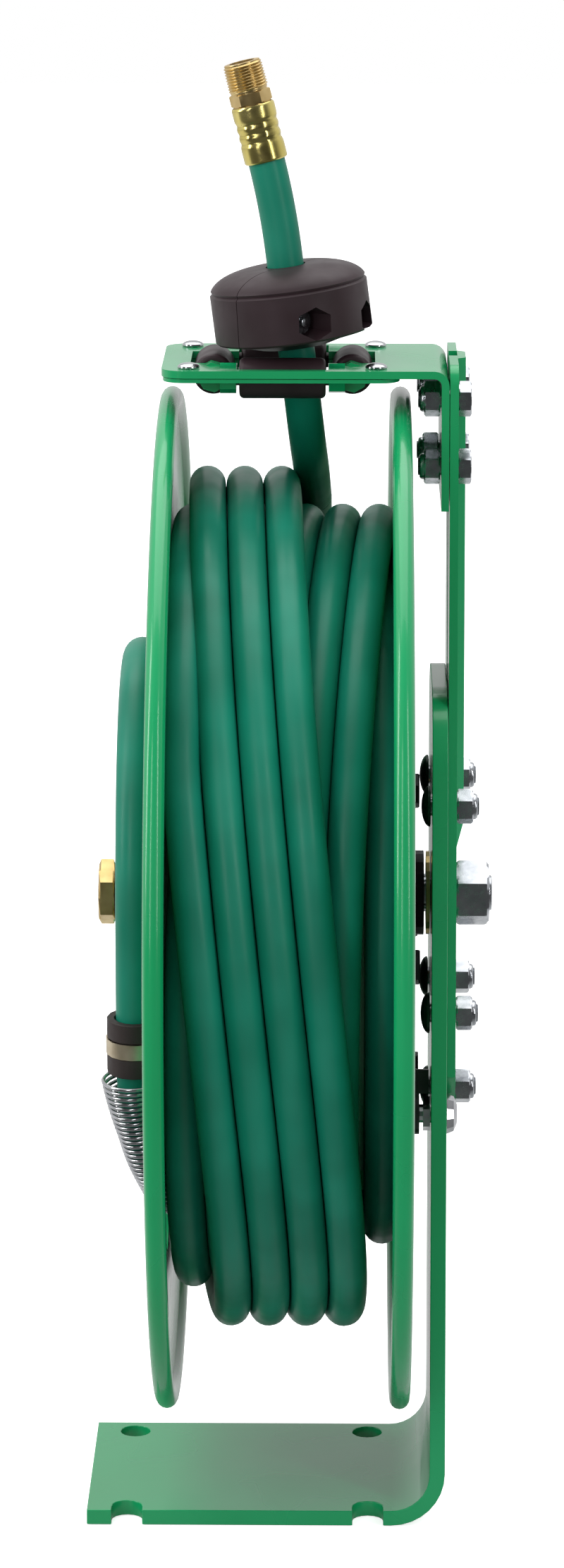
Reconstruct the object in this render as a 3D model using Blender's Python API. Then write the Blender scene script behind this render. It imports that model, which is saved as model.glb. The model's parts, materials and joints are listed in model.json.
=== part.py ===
"""Spring-rewind garden hose reel, in metres, +Z up, the base's underside centre at the origin.

The axle runs along X. The photograph looks along +Y, so the front is -Y. Inside the functions
a place is given from the axle: x along it, y front to back, z above it.
"""

import math

import bmesh
import bpy
from mathutils import Matrix, Vector

# Clearances
GAP = 0.0003
RUNNING = 0.0004

# A round cutter is rolled a little, so that no corner falls on an edge of what it cuts
PIN_ROLL = math.radians(7)

# Fasteners: 5/16 in bolts with 1/2 in hexagons, and the smaller holes
BOLT = 0.0079
BOLT_AF = 0.0127
DOME = 0.0170
SHANK_PLAY = 0.0002
HUB_BOLT_HOLE = 0.0084
RIVET_HOLE = 0.0046
CLAMP_HOLE = 0.0060

# Stand: one bent plate
PLATE = 0.00635
BASE_LENGTH = 0.1480
BASE_DEPTH = 0.1016
BEND_OUTER = 0.0222
DISC_TO_BASE = 0.0455
UPRIGHT_TOP = 0.0923
UPRIGHT_CORNER = 0.0300
BOLT_SLOT = 0.0127
SLOT_INSET = 0.0046
SLOT_FROM_LEFT = 0.0165
SLOT_SPACING = 0.0997
HOLE_INSET = 0.0101

# Guide arm
ARM_PLATE = 0.0035
ARM_DEPTH = 0.0760
ARM_RISE = 0.0067
ARM_SHOULDER = 0.0680
ARM_BOTTOM = 0.0970
ARM_TOE = 0.0240
BEAD_WIDTH = 0.0220
BEAD_RISE = 0.0033
BEAD_FOOT = 0.0200
ARM_BOLT_Y = 0.0280
ARM_BOLT_Z = 0.0436
ARM_TOE_BOLT = 0.0830
ARM_CORNER = 0.0080

# Discs, drum and winding
DISC_DIAMETER = 0.4210
DISC_SHEET = 0.0020
RIM_BEAD = 0.0082
DISC_SPACING = 0.0947
DISC_TO_UPRIGHT = 0.0128
DRUM_OUTER = 0.1284
DRUM_SHEET = 0.0020
NOTCH_PAST = 0.0060
HOSE = 0.0151
LAYER_STEP = 0.0157
CORE_DEPTH = 0.01623
TURN_PITCH = 0.0156
TURN_POINTS = 24
OUTER_TURNS = 2.9167
LOWER_TURNS = 4.0
FIRST_TURN = 0.0119
FIRST_OUTER_TURN = 0.0807
LOWER_LEAN = (0.0046, 0.0013)
OUTER_LEAN = (0.0069, 0.0039)

# Axle and its line
AXLE = 0.0159
AXLE_ROOM = 0.0030
HUB = 0.0350
HUB_LENGTH = 0.0055
LEFT_HUB_LENGTH = 0.0040
WASHER = 0.0345
WASHER_SHEET = 0.0015
NUT_AF = 0.0238
NUT_THICK = 0.0139
RATCHET_OUTER = 0.0660
RATCHET_ROOT = 0.0590
RATCHET_SHEET = 0.0030
RATCHET_TEETH = 12
RATCHET_LEAN = 4.8
RATCHET_START = 177.2
HUB_BOLT_CIRCLE = 0.0433
CASE_OUTER = 0.0960
CASE_LENGTH = 0.0420
CASE_SHEET = 0.0016
ARBOR = 0.0420
ARBOR_LENGTH = 0.0340
SPRING_STRIP = 0.0016
SPRING_WIDTH = 0.0300
SPRING_TURNS = 4

# Pawl
PAWL_Y = -0.0360
PAWL_Z = -0.0840
PAWL_REST_SWING = 14.0
PAWL_LUG_FOOT = 0.0083
PAWL_LUG_TOP = 0.0180

# Roller bracket
BRACKET_PLATE = 0.0031
KEEPER_PLATE = 0.0016
BRACKET_LEFT = 0.0971
BRACKET_RISE = 0.0018
BRACKET_BEND = 0.0060
BRACKET_CORNER = 0.0090
FLANGE_DROP = 0.0572
HEAD_BOLT_Y = 0.0200
HEAD_BOLT_DROP = 0.0090
HEAD_BOLT_SPACING = 0.0278
ROLLER = 0.0165
ROLLER_PIN = 0.0060
ROLLERS_TO_DISC = 0.0097
SIDE_ROLLER_LENGTH = 0.0300
FRONT_ROLLER_LENGTH = 0.0350
SIDE_ROLLER_SPREAD = 0.0566
FRONT_ROLLER_SPREAD = 0.0480
GUIDE_CENTRE = 0.0482
JOURNAL = 0.0040
HUMP = 0.0062
RIVET_SPREAD_X = 0.0758
RIVET_SPREAD_Y = 0.0600
RIVET_HEAD = 0.0045

# Ball stop and hose end
STOP_RADIUS = 0.0322
STOP_FOOT = 0.0160
STOP_HEIGHT = 0.0327
STOP_CHAMFER = 0.0047
STOP_BAND = 0.0190
STOP_RISE = 0.0112
STOP_LEAN = 7.3
STOP_SPLIT = 46.0
STOP_SCREW_OFFSET = 0.0148
STOP_SCREW_HOLE = 0.0048
STOP_SEAT = 0.0170
RUN_BEND = 0.0600
RUN_IN_WINDOW = 0.0065
BEND_RISE = 0.0497
FERRULE = 0.0178
FERRULE_GROOVE = 0.0005
FERRULE_LENGTH = 0.0236
FERRULE_RISE = 0.0865
END_LEAN = 14.0
FITTING_HEX = 0.0159
FITTING_HEX_LENGTH = 0.0052
FITTING_FOOT = 0.0020
THREAD = 0.0171
THREAD_LENGTH = 0.0118
THREAD_RIDGES = 5

# Feed line on the left disc. The route's points are (y, z, x): x from the feed line's own plane
FEED_ROUTE = (
    (0.0090, 0.0250, 0.0), (0.0150, 0.0417, 0.0), (0.0180, 0.0620, 0.0), (0.0110, 0.0840, 0.0),
    (-0.0100, 0.1010, 0.0), (-0.0420, 0.1075, 0.0), (-0.0760, 0.1000, 0.0),
    (-0.1010, 0.0760, 0.0), (-0.1140, 0.0420, 0.0), (-0.1165, 0.0060, 0.0),
    (-0.1145, -0.0220, 0.0), (-0.1130, -0.0430, 0.0), (-0.1105, -0.0600, 0.0014),
    (-0.1056, -0.0767, 0.0050), (-0.0982, -0.0923, 0.0110), (-0.0892, -0.1043, 0.0170),
    (-0.0810, -0.1114, 0.0205), (-0.0682, -0.1181, 0.0207),
)
SLOT_HALF = 0.0138
SLOT_HIGH = Vector((-0.1125, -0.0560))
SLOT_LOW = Vector((-0.0862, -0.1112))
CLAMP_Y = -0.1139
CLAMP_Z = -0.0320
CLAMP_WAY = Vector((0, -0.0720, 1.0)).normalized()
COIL_START_Z = -0.0475
COIL_FRONT = -0.0900
FEED_OFFSET = 0.0106
CLAMP_WIDTH = 0.0222
CLAMP_CUSHION = 0.0018
CLAMP_STRAP = 0.0010
COIL_WIRE = 0.0015
COIL_PITCH = 0.00255
COIL_MOUTH = 0.0109
COIL_END = 0.0097
SWIVEL_BODY = 0.0240
SWIVEL_LENGTH = 0.0175
NOZZLE = 0.0096
INLET_AF = 0.0240
INLET_LENGTH = 0.0066

# Heights: the axle's from the floor, the others from the axle
AXLE_HEIGHT = DISC_DIAMETER / 2 + DISC_TO_BASE
ROLLER_LEVEL = DISC_DIAMETER / 2 + ROLLERS_TO_DISC
ARM_TOP = ROLLER_LEVEL + ARM_RISE
HEAD_BOLT_HIGH = ROLLER_LEVEL - HEAD_BOLT_DROP
HEAD_BOLT_LOW = HEAD_BOLT_HIGH - HEAD_BOLT_SPACING
STOP_BASE = ROLLER_LEVEL + STOP_RISE
FERRULE_BASE = ROLLER_LEVEL + FERRULE_RISE
BEND_FOOT = ROLLER_LEVEL + BEND_RISE

# Places along the axle, from the base's centre
UPRIGHT_OUT = BASE_LENGTH / 2
UPRIGHT_IN = UPRIGHT_OUT - PLATE
RIGHT_DISC = UPRIGHT_IN - DISC_TO_UPRIGHT
LEFT_DISC = RIGHT_DISC - DISC_SPACING
ARM_IN = UPRIGHT_OUT + GAP
ARM_OUT = ARM_IN + ARM_PLATE
RIGHT_WEB = RIGHT_DISC - DISC_SHEET / 2
LEFT_WEB = LEFT_DISC + DISC_SHEET / 2
RATCHET_IN = RIGHT_DISC + DISC_SHEET / 2 + GAP
RATCHET_OUT = RATCHET_IN + RATCHET_SHEET
GUIDE_X = RIGHT_DISC - GUIDE_CENTRE
FEED_X = LEFT_DISC - FEED_OFFSET
CLAMP_PLACE = Vector((FEED_X, CLAMP_Y, CLAMP_Z))
FEED_END = Vector((FEED_X + FEED_ROUTE[-1][2], FEED_ROUTE[-1][0], FEED_ROUTE[-1][1]))
CORE_OUTER = DRUM_OUTER + CORE_DEPTH
LOWER_TURN_RADIUS = (CORE_OUTER + HOSE / 2 + 2 * GAP) / math.cos(math.pi / TURN_POINTS)
LEFT_TURN = LEFT_WEB + HOSE / 2 + GAP
HOSE_Y = -0.0050


def material(name, colour, roughness, metallic):
    made = bpy.data.materials.new(name)
    made.use_nodes = True
    shader = made.node_tree.nodes["Principled BSDF"]
    shader.inputs["Base Color"].default_value = (*colour, 1.0)
    shader.inputs["Roughness"].default_value = roughness
    shader.inputs["Metallic"].default_value = metallic
    return made


def clear_scene():
    for obj in list(bpy.data.objects):
        bpy.data.objects.remove(obj, do_unlink=True)


def axis_point(name, x, y, z):
    """An empty on a joint's axis, which carries the pieces of one moving body."""
    empty = bpy.data.objects.new(name, None)
    empty.empty_display_size = 0.02
    empty.location = (x, y, AXLE_HEIGHT + z)
    bpy.context.scene.collection.objects.link(empty)
    return empty


def link(name, data, look, body):
    """An object whose data is given from the axle, parented to its body's empty."""
    obj = bpy.data.objects.new(name, data)
    obj.data.materials.append(look)
    obj.parent = body
    if body is not None:
        obj.location = Vector((0, 0, AXLE_HEIGHT)) - body.location
    else:
        obj.location = (0, 0, AXLE_HEIGHT)
    bpy.context.scene.collection.objects.link(obj)
    return obj


def solid(name, bm, look, body=None, smooth=True):
    bmesh.ops.recalc_face_normals(bm, faces=bm.faces)
    mesh = bpy.data.meshes.new(name)
    bm.to_mesh(mesh)
    bm.free()
    if smooth:
        mesh.shade_smooth()
        mesh.set_sharp_from_angle(angle=math.radians(35))
    return link(name, mesh, look, body)


def boolean(obj, bm, operation):
    """Cuts bm out of obj, or joins bm to it. The helper stays hidden."""
    helper = solid(obj.name + "_helper", bm, obj.data.materials[0], obj.parent, smooth=False)
    helper.hide_render = True
    helper.display_type = "WIRE"
    modifier = obj.modifiers.new(operation.title(), "BOOLEAN")
    modifier.operation = operation
    modifier.solver = "EXACT"
    modifier.object = helper


def cut(obj, bm):
    boolean(obj, bm, "DIFFERENCE")


def join(obj, bm):
    boolean(obj, bm, "UNION")


def ring_face(bm, rows, closed_rows):
    """Skins a list of rows of vertices, each a closed loop of the same count."""
    pairs = list(zip(rows, rows[1:]))
    if closed_rows:
        pairs.append((rows[-1], rows[0]))
    for low, high in pairs:
        count = len(low)
        for i in range(count):
            j = (i + 1) % count
            bm.faces.new((low[i], low[j], high[j], high[i]))
    if not closed_rows:
        bm.faces.new(rows[0])
        bm.faces.new(rows[-1])


def lathe(profile, steps, closed):
    """A turned solid about X. The profile is (x, radius) points: a loop if closed, else capped ends."""
    bm = bmesh.new()
    rows = []
    for x, radius in profile:
        angles = [2 * math.pi * i / steps for i in range(steps)]
        rows.append([bm.verts.new((x, radius * math.cos(a), radius * math.sin(a))) for a in angles])
    ring_face(bm, rows, closed)
    return bm


def hex_radius(across_flats, angle):
    return across_flats / 2 / math.cos((angle + math.pi / 6) % (math.pi / 3) - math.pi / 6)


def stacked(sections, steps=12, turn=0.0):
    """A capped solid along X from (x, kind, size) sections: size is a diameter or a hexagon's width."""
    bm = bmesh.new()
    rows = []
    for x, kind, size in sections:
        row = []
        for i in range(steps):
            a = 2 * math.pi * i / steps + math.pi / 6
            radius = hex_radius(size, a) if kind == "hex" else size / 2
            row.append(bm.verts.new((x, radius * math.cos(a + turn), radius * math.sin(a + turn))))
        rows.append(row)
    ring_face(bm, rows, False)
    return bm


def block(x0, x1, y0, y1, z0, z1):
    bm = bmesh.new()
    bmesh.ops.create_cube(bm, size=1.0)
    for v in bm.verts:
        v.co = Vector((
            x0 + (v.co.x + 0.5) * (x1 - x0),
            y0 + (v.co.y + 0.5) * (y1 - y0),
            z0 + (v.co.z + 0.5) * (z1 - z0),
        ))
    return bm


def prism_x(outline, x0, x1):
    """A plate of (y, z) points, from x0 to x1."""
    bm = bmesh.new()
    rows = [[bm.verts.new((x, y, z)) for y, z in outline] for x in (x0, x1)]
    ring_face(bm, rows, False)
    return bm


def prism_y(outline, y0, y1):
    """A plate of (x, z) points, from y0 to y1."""
    bm = bmesh.new()
    rows = [[bm.verts.new((x, y, z)) for x, z in outline] for y in (y0, y1)]
    ring_face(bm, rows, False)
    return bm


def prism_z(outline, z0, z1):
    """A plate of (x, y) points, from z0 to z1."""
    bm = bmesh.new()
    rows = [[bm.verts.new((x, y, z)) for x, y in outline] for z in (z0, z1)]
    ring_face(bm, rows, False)
    return bm


def arc(cx, cy, radius, start, stop, steps):
    """Points on an arc, angles in degrees."""
    found = []
    for i in range(steps + 1):
        a = math.radians(start + (stop - start) * i / steps)
        found.append((cx + radius * math.cos(a), cy + radius * math.sin(a)))
    return found


def rounded_box(x0, x1, y0, y1, radius, steps=4):
    return (
        arc(x1 - radius, y1 - radius, radius, 0, 90, steps)
        + arc(x0 + radius, y1 - radius, radius, 90, 180, steps)
        + arc(x0 + radius, y0 + radius, radius, 180, 270, steps)
        + arc(x1 - radius, y0 + radius, radius, 270, 360, steps)
    )


def pin(start, direction, length, radius, steps=12):
    """A plain cylinder from start along direction."""
    bm = bmesh.new()
    bmesh.ops.create_cone(
        bm, cap_ends=True, segments=steps, radius1=radius, radius2=radius, depth=length
    )
    along = Vector(direction).normalized()
    turn = Vector((0, 0, 1)).rotation_difference(along).to_matrix().to_4x4()
    roll = Matrix.Rotation(PIN_ROLL, 4, "Z")
    place = Matrix.Translation(Vector(start) + along * length / 2) @ turn @ roll
    bmesh.ops.transform(bm, matrix=place, verts=bm.verts)
    return bm


def moved(bm, matrix):
    bmesh.ops.transform(bm, matrix=matrix, verts=bm.verts)
    return bm


def frame_along(point, direction):
    """The matrix that lays +X along direction and the origin at point."""
    turn = Vector((1, 0, 0)).rotation_difference(Vector(direction).normalized())
    return Matrix.Translation(Vector(point)) @ turn.to_matrix().to_4x4()


def on_wheel(psi, radius, x):
    """A point about the axle: psi in degrees from the top, towards the front."""
    a = math.radians(psi)
    return Vector((x, -radius * math.sin(a), radius * math.cos(a)))


def tube(name, points, radius, look, body, rounds):
    curve = bpy.data.curves.new(name, "CURVE")
    curve.dimensions = "3D"
    curve.bevel_depth = radius
    curve.bevel_resolution = rounds
    curve.use_fill_caps = True
    spline = curve.splines.new("POLY")
    spline.points.add(len(points) - 1)
    for target, point in zip(spline.points, points):
        target.co = (*point, 1.0)
    return link(name, curve, look, body)


def smooth_route(points, spacing):
    """Points at even spacing on the smooth curve through the given ones."""
    ends = [points[0] * 2 - points[1], *points, points[-1] * 2 - points[-2]]
    fine = []
    for p0, p1, p2, p3 in zip(ends, ends[1:], ends[2:], ends[3:]):
        for i in range(24):
            t = i / 24
            fine.append(0.5 * (
                2 * p1 + (p2 - p0) * t + (2 * p0 - 5 * p1 + 4 * p2 - p3) * t * t
                + (3 * p1 - p0 - 3 * p2 + p3) * t * t * t
            ))
    fine.append(points[-1])
    lengths = [0.0]
    for a, b in zip(fine, fine[1:]):
        lengths.append(lengths[-1] + (b - a).length)
    count = max(2, round(lengths[-1] / spacing))
    found = []
    at = 0
    for i in range(count + 1):
        goal = lengths[-1] * i / count
        while at < len(fine) - 2 and lengths[at + 1] < goal:
            at += 1
        part = (goal - lengths[at]) / (lengths[at + 1] - lengths[at])
        found.append(fine[at].lerp(fine[at + 1], part))
    return found


def least_gap(points, thickness, apart):
    """The least clear distance between stretches of a tube at least `apart` points from each other."""
    dense = []
    for a, b in zip(points, points[1:]):
        dense += [a, a.lerp(b, 0.5)]
    least = 1.0
    for i, a in enumerate(dense):
        for b in dense[i + 2 * apart:]:
            least = min(least, (a - b).length)
    return least - thickness


# Stand and arm

def pedestal(look):
    """The base and the upright, one plate bent at the right."""
    floor = -AXLE_HEIGHT
    left = -BASE_LENGTH / 2
    centre = (UPRIGHT_OUT - BEND_OUTER, floor + BEND_OUTER)
    outline = [(left, floor)]
    outline += arc(*centre, BEND_OUTER, 270, 360, 8)
    outline += [(UPRIGHT_OUT, UPRIGHT_TOP), (UPRIGHT_IN, UPRIGHT_TOP)]
    outline += arc(*centre, BEND_OUTER - PLATE, 360, 270, 8)
    outline += [(left, floor + PLATE)]
    half = BASE_DEPTH / 2
    obj = solid("pedestal", prism_y(outline, -half, half), look, smooth=False)
    for side in (-1, 1):
        inner = side * (half - UPRIGHT_CORNER)
        level = UPRIGHT_TOP - UPRIGHT_CORNER
        start = 0 if side > 0 else 180
        corner = arc(inner, level, UPRIGHT_CORNER, start, 90, 8)
        corner += [(inner, UPRIGHT_TOP + 0.01), (side * (half + 0.01), UPRIGHT_TOP + 0.01)]
        corner += [(side * (half + 0.01), level)]
        cut(obj, prism_x(corner, UPRIGHT_IN - 0.01, UPRIGHT_OUT + 0.01))
    radius = BOLT_SLOT / 2
    for x in (left + SLOT_FROM_LEFT, left + SLOT_FROM_LEFT + SLOT_SPACING):
        rear = arc(x, half - HOLE_INSET, radius, 0, 337.5, 15)
        cut(obj, prism_z(rear, floor - 0.01, floor + PLATE + 0.01))
        front = arc(x, -half + SLOT_INSET, radius, 0, 180, 8)
        front += [(x - radius, -half - 0.01), (x + radius, -half - 0.01)]
        cut(obj, prism_z(front, floor - 0.01, floor + PLATE + 0.01))
    for y, z in arm_bolt_places() + [(0.0, -ARM_TOE_BOLT), (PAWL_Y, PAWL_Z)]:
        cut(obj, pin((UPRIGHT_IN - 0.01, y, z), (1, 0, 0), PLATE + 0.02, BOLT / 2 + GAP))
    cut(obj, pin((UPRIGHT_IN - 0.01, 0, 0), (1, 0, 0), PLATE + 0.02, AXLE / 2 + GAP, 24))
    return obj


def arm_bolt_places():
    return [(y, z) for y in (-ARM_BOLT_Y, ARM_BOLT_Y) for z in (-ARM_BOLT_Z, ARM_BOLT_Z)]


def head_bolt_places():
    return [(y, z) for y in (-HEAD_BOLT_Y, HEAD_BOLT_Y) for z in (HEAD_BOLT_LOW, HEAD_BOLT_HIGH)]


def guide_arm(look):
    half = ARM_DEPTH / 2
    toe = ARM_TOE / 2
    corner = ARM_CORNER
    outline = [(half, -ARM_SHOULDER)]
    outline += arc(half - corner, ARM_TOP - corner, corner, 0, 90, 4)
    outline += arc(-half + corner, ARM_TOP - corner, corner, 90, 180, 4)
    outline += [(-half, -ARM_SHOULDER), (-toe, -ARM_BOTTOM), (toe, -ARM_BOTTOM)]
    obj = solid("guide_arm", prism_x(outline, ARM_IN, ARM_OUT), look)
    wide = BEAD_WIDTH / 2
    narrow = wide - BEAD_RISE * 0.9
    bm = bmesh.new()
    rows = []
    for z, rise in ((BEAD_FOOT, 0.0), (BEAD_FOOT + 0.012, BEAD_RISE), (ARM_TOP - 0.0005, BEAD_RISE)):
        out = ARM_OUT + rise
        low = ARM_OUT - 0.001
        rows.append([bm.verts.new(p) for p in (
            (low, -wide, z), (ARM_OUT, -wide, z), (out + 0.0001, -narrow, z),
            (out + 0.0001, narrow, z), (ARM_OUT, wide, z), (low, wide, z),
        )])
    ring_face(bm, rows, False)
    join(obj, bm)
    hollow = narrow - BEAD_RISE * 0.5
    groove = block(ARM_IN - 0.005, ARM_OUT, -hollow, hollow, BEAD_FOOT + 0.014, ARM_TOP + 0.01)
    cut(obj, groove)
    for y, z in arm_bolt_places() + head_bolt_places() + [(0.0, -ARM_TOE_BOLT)]:
        cut(obj, pin((ARM_IN - 0.01, y, z), (1, 0, 0), 0.03, BOLT / 2 + GAP))
    cut(obj, pin((ARM_IN - 0.01, 0, 0), (1, 0, 0), 0.03, AXLE / 2 + GAP, 24))
    return obj


def through_bolt(name, y, z, head_face, nut_face, head_kind, look):
    """A bolt along X with its nut. The head seats on head_face and the nut on nut_face."""
    way = 1.0 if nut_face > head_face else -1.0
    shank = BOLT - SHANK_PLAY
    sections = []
    if head_kind == "dome":
        sections += [(-0.0039, "round", 0.0095), (-0.0024, "round", 0.0152), (0.0, "round", DOME)]
    else:
        sections += [(-0.0052, "hex", BOLT_AF), (0.0, "hex", BOLT_AF)]
    grip = abs(nut_face - head_face)
    sections += [(0.0, "round", shank), (grip, "round", shank), (grip, "hex", BOLT_AF)]
    sections += [(grip + 0.0064, "hex", BOLT_AF), (grip + 0.0090, "round", 0.0070)]
    bm = stacked([(head_face + way * at, kind, size) for at, kind, size in sections])
    return solid(name, moved(bm, Matrix.Translation((0, y, z))), look)


def fasteners(look):
    for i, (y, z) in enumerate(arm_bolt_places()):
        through_bolt(f"arm_bolt_{i + 1}", y, z, UPRIGHT_IN - GAP, ARM_OUT + GAP, "dome", look)
    through_bolt("arm_toe_bolt", 0, -ARM_TOE_BOLT, UPRIGHT_IN - GAP, ARM_OUT + GAP, "dome", look)
    for i, (y, z) in enumerate(head_bolt_places()):
        face = UPRIGHT_OUT - BRACKET_PLATE - GAP
        through_bolt(f"head_bolt_{i + 1}", y, z, ARM_OUT + GAP, face, "hex", look)


def axle_parts(steel, brass, dark):
    left_end = LEFT_DISC - 0.0030
    right_end = ARM_OUT + NUT_THICK + 0.0016
    thread = AXLE - SHANK_PLAY
    bm = stacked([
        (left_end, "round", thread - 0.002), (left_end + 0.001, "round", thread),
        (right_end - 0.001, "round", thread), (right_end, "round", thread - 0.002),
    ], 18)
    solid("axle", bm, steel)
    nut = ARM_OUT + GAP
    bore = AXLE / 2 + SHANK_PLAY
    bm = stacked([
        (nut, "round", NUT_AF), (nut + 0.0008, "hex", NUT_AF),
        (nut + NUT_THICK - 0.0012, "hex", NUT_AF), (nut + NUT_THICK, "round", NUT_AF - 0.0004),
    ], 12)
    obj = solid("axle_nut", bm, steel)
    cut(obj, pin((nut - 0.01, 0, 0), (1, 0, 0), 0.04, bore, 24))
    face = UPRIGHT_IN - GAP
    inner = bore
    washer = [(face - WASHER_SHEET, inner), (face - WASHER_SHEET, WASHER / 2)]
    washer += [(face, WASHER / 2), (face, inner)]
    solid("thrust_washer", lathe(washer, 24, True), brass)
    spring_case_left = RIGHT_WEB - GAP - CASE_LENGTH
    start = spring_case_left + 0.004
    arbor = [(start, inner), (start, ARBOR / 2), (start + ARBOR_LENGTH, ARBOR / 2)]
    arbor += [(start + ARBOR_LENGTH, inner)]
    solid("spring_arbor", lathe(arbor, 24, True), dark)


# Spool

def disc_profile(centre, inner):
    """The disc's section: a flat web that runs into a round rim bead."""
    radius = DISC_DIAMETER / 2
    bead = RIM_BEAD / 2
    half = DISC_SHEET / 2
    rim = radius - bead
    opening = math.asin(half / bead)
    profile = [(centre - half, inner)]
    count = 8
    for i in range(count + 1):
        a = opening + (2 * math.pi - 2 * opening) * i / count
        profile.append((centre - bead * math.sin(a), rim - bead * math.cos(a)))
    profile.append((centre + half, inner))
    return profile


def hub_bolt_places():
    places = [on_wheel(120 * i, HUB_BOLT_CIRCLE, 0) for i in range(3)]
    return [(p.y, p.z) for p in places]


def spool_discs(look, body):
    bore = AXLE / 2 + AXLE_ROOM
    right = solid("right_disc", lathe(disc_profile(RIGHT_DISC, bore), 40, True), look, body)
    left = solid("left_disc", lathe(disc_profile(LEFT_DISC, bore), 40, True), look, body)
    for y, z in hub_bolt_places():
        cut(right, pin((RIGHT_DISC - 0.01, y, z), (1, 0, 0), 0.02, HUB_BOLT_HOLE / 2))
    way = SLOT_LOW - SLOT_HIGH
    angle = math.degrees(math.atan2(way.y, way.x))
    outline = arc(SLOT_LOW.x, SLOT_LOW.y, SLOT_HALF, angle - 90, angle + 90, 8)
    outline += arc(SLOT_HIGH.x, SLOT_HIGH.y, SLOT_HALF, angle + 90, angle + 270, 8)
    cut(left, prism_x(outline, LEFT_DISC - 0.006, LEFT_DISC + 0.006))
    y, z = clamp_screw_place()
    cut(left, pin((LEFT_DISC - 0.006, y, z), (1, 0, 0), 0.012, CLAMP_HOLE / 2))


def sector(inner, outer, start, stop, x0, x1, steps=8):
    """A block that lies round the axle between two radii and two angles."""
    a = [on_wheel(start + (stop - start) * i / steps, inner, 0) for i in range(steps + 1)]
    b = [on_wheel(stop + (start - stop) * i / steps, outer, 0) for i in range(steps + 1)]
    return prism_x([(p.y, p.z) for p in a + b], x0, x1)


def drum(look, body):
    x0 = LEFT_WEB + GAP
    x1 = RIGHT_WEB - GAP
    inner = DRUM_OUTER - DRUM_SHEET
    profile = [(x0, inner), (x0, DRUM_OUTER), (x1, DRUM_OUTER), (x1, inner)]
    obj = solid("drum", lathe(profile, 40, True), look, body)
    notch = FEED_END.x + 0.0010 - 0.0002
    cut(obj, sector(inner - NOTCH_PAST, DRUM_OUTER + NOTCH_PAST, 112, 144, x0 - 0.01, notch))
    return obj


def hose_core(look, body, start, way):
    """The inner layers, plain, with the pocket where the feed hose enters and the last layer's climb."""
    x0 = LEFT_WEB + GAP
    x1 = RIGHT_WEB - GAP
    inner = DRUM_OUTER + GAP
    profile = [(x0, inner), (x0, CORE_OUTER), (x1, CORE_OUTER), (x1, inner)]
    obj = solid("hose_core", lathe(profile, 40, True), look, body)
    pocket = FEED_END.x + HOSE / 2 + 0.0012
    end = math.degrees(math.atan2(-FEED_END.y, FEED_END.z)) + 0.15
    cut(obj, sector(DRUM_OUTER - NOTCH_PAST, CORE_OUTER + NOTCH_PAST, 116, end, x0 - 0.01, pocket))
    climb = block(GAP, 0.0140, -HOSE / 2 + 0.0012, HOSE / 2 - 0.0012, -0.0190, HOSE / 2)
    out = Vector((0, start.y, start.z)).normalized()
    back = -way
    side = out.cross(back).normalized()
    up = back.cross(side).normalized()
    turn = Matrix((back, side, up)).transposed().to_4x4()
    join(obj, moved(climb, Matrix.Translation(start) @ turn))
    return obj


def lean(turn, cosine, sine):
    """How far the turns sway along the axle at this angle, which is 0 at the top."""
    return cosine * (1 - math.cos(turn)) + sine * math.sin(turn)


def winding_place(theta):
    """(x, radius) of the hose at theta degrees past the top, on its way out from the drum."""
    turns = theta / 360
    a = math.radians(theta)
    if turns <= LOWER_TURNS:
        left = RIGHT_DISC - LEFT_TURN
        spread = (left - FIRST_TURN - TURN_PITCH * LOWER_TURNS) / LOWER_TURNS ** 2
        x = RIGHT_DISC - FIRST_TURN - TURN_PITCH * turns - spread * turns * abs(turns)
        return max(x + lean(a, *LOWER_LEAN), LEFT_TURN), LOWER_TURN_RADIUS
    past = turns - LOWER_TURNS - 1
    x = RIGHT_DISC - FIRST_OUTER_TURN + TURN_PITCH * past + lean(a, *OUTER_LEAN)
    climb = min(1.0, (turns - LOWER_TURNS) / 0.5)
    return max(x, LEFT_TURN), LOWER_TURN_RADIUS + LAYER_STEP * climb


def winding_route():
    """One unbroken hose: the lower layer to the left, the climb, then the outer layer to the right."""
    step = 360 / TURN_POINTS
    first = -3
    last = round((LOWER_TURNS + 1 + OUTER_TURNS) * TURN_POINTS)
    points = []
    for i in range(first, last + 1):
        x, radius = winding_place(i * step)
        points.append(on_wheel(i * step, radius, x))
    in_way = tangent(first * step)
    out_way = tangent(last * step)
    points.insert(0, points[0] - in_way * HOSE)
    points.append(points[-1] + out_way * HOSE)
    return points, in_way, out_way


def tangent(theta):
    a = math.radians(theta)
    return Vector((0, -math.cos(a), -math.sin(a)))


def run_route(start, way):
    """The hose from the winding, round under the rear roller and up through the ball stop."""
    radius = RUN_BEND
    flat = Vector((way.y, way.z))
    rise = Vector((-flat.y, flat.x))
    if rise.x < 0:
        rise = -rise
    base = Vector((start.y, start.z))
    reach = (HOSE_Y + radius - base.x - radius * rise.x) / flat.x
    centre = base + flat * reach + rise * radius
    points = [base, base + flat * reach * 0.5]
    first = math.degrees(math.atan2(-rise.y, -rise.x)) % 360
    points += [Vector(p) for p in arc(centre.x, centre.y, radius, first, 180, 6)]
    low = centre.y
    high = FERRULE_BASE + (FERRULE_LENGTH - FITTING_FOOT - 2 * GAP) * math.cos(math.radians(END_LEAN))
    count = math.ceil((high - low) / 0.0095)
    points += [Vector((HOSE_Y, low + (high - low) * i / count)) for i in range(1, count + 1)]
    return [Vector((run_x(p.y, start), p.x, p.y)) for p in points]


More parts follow.
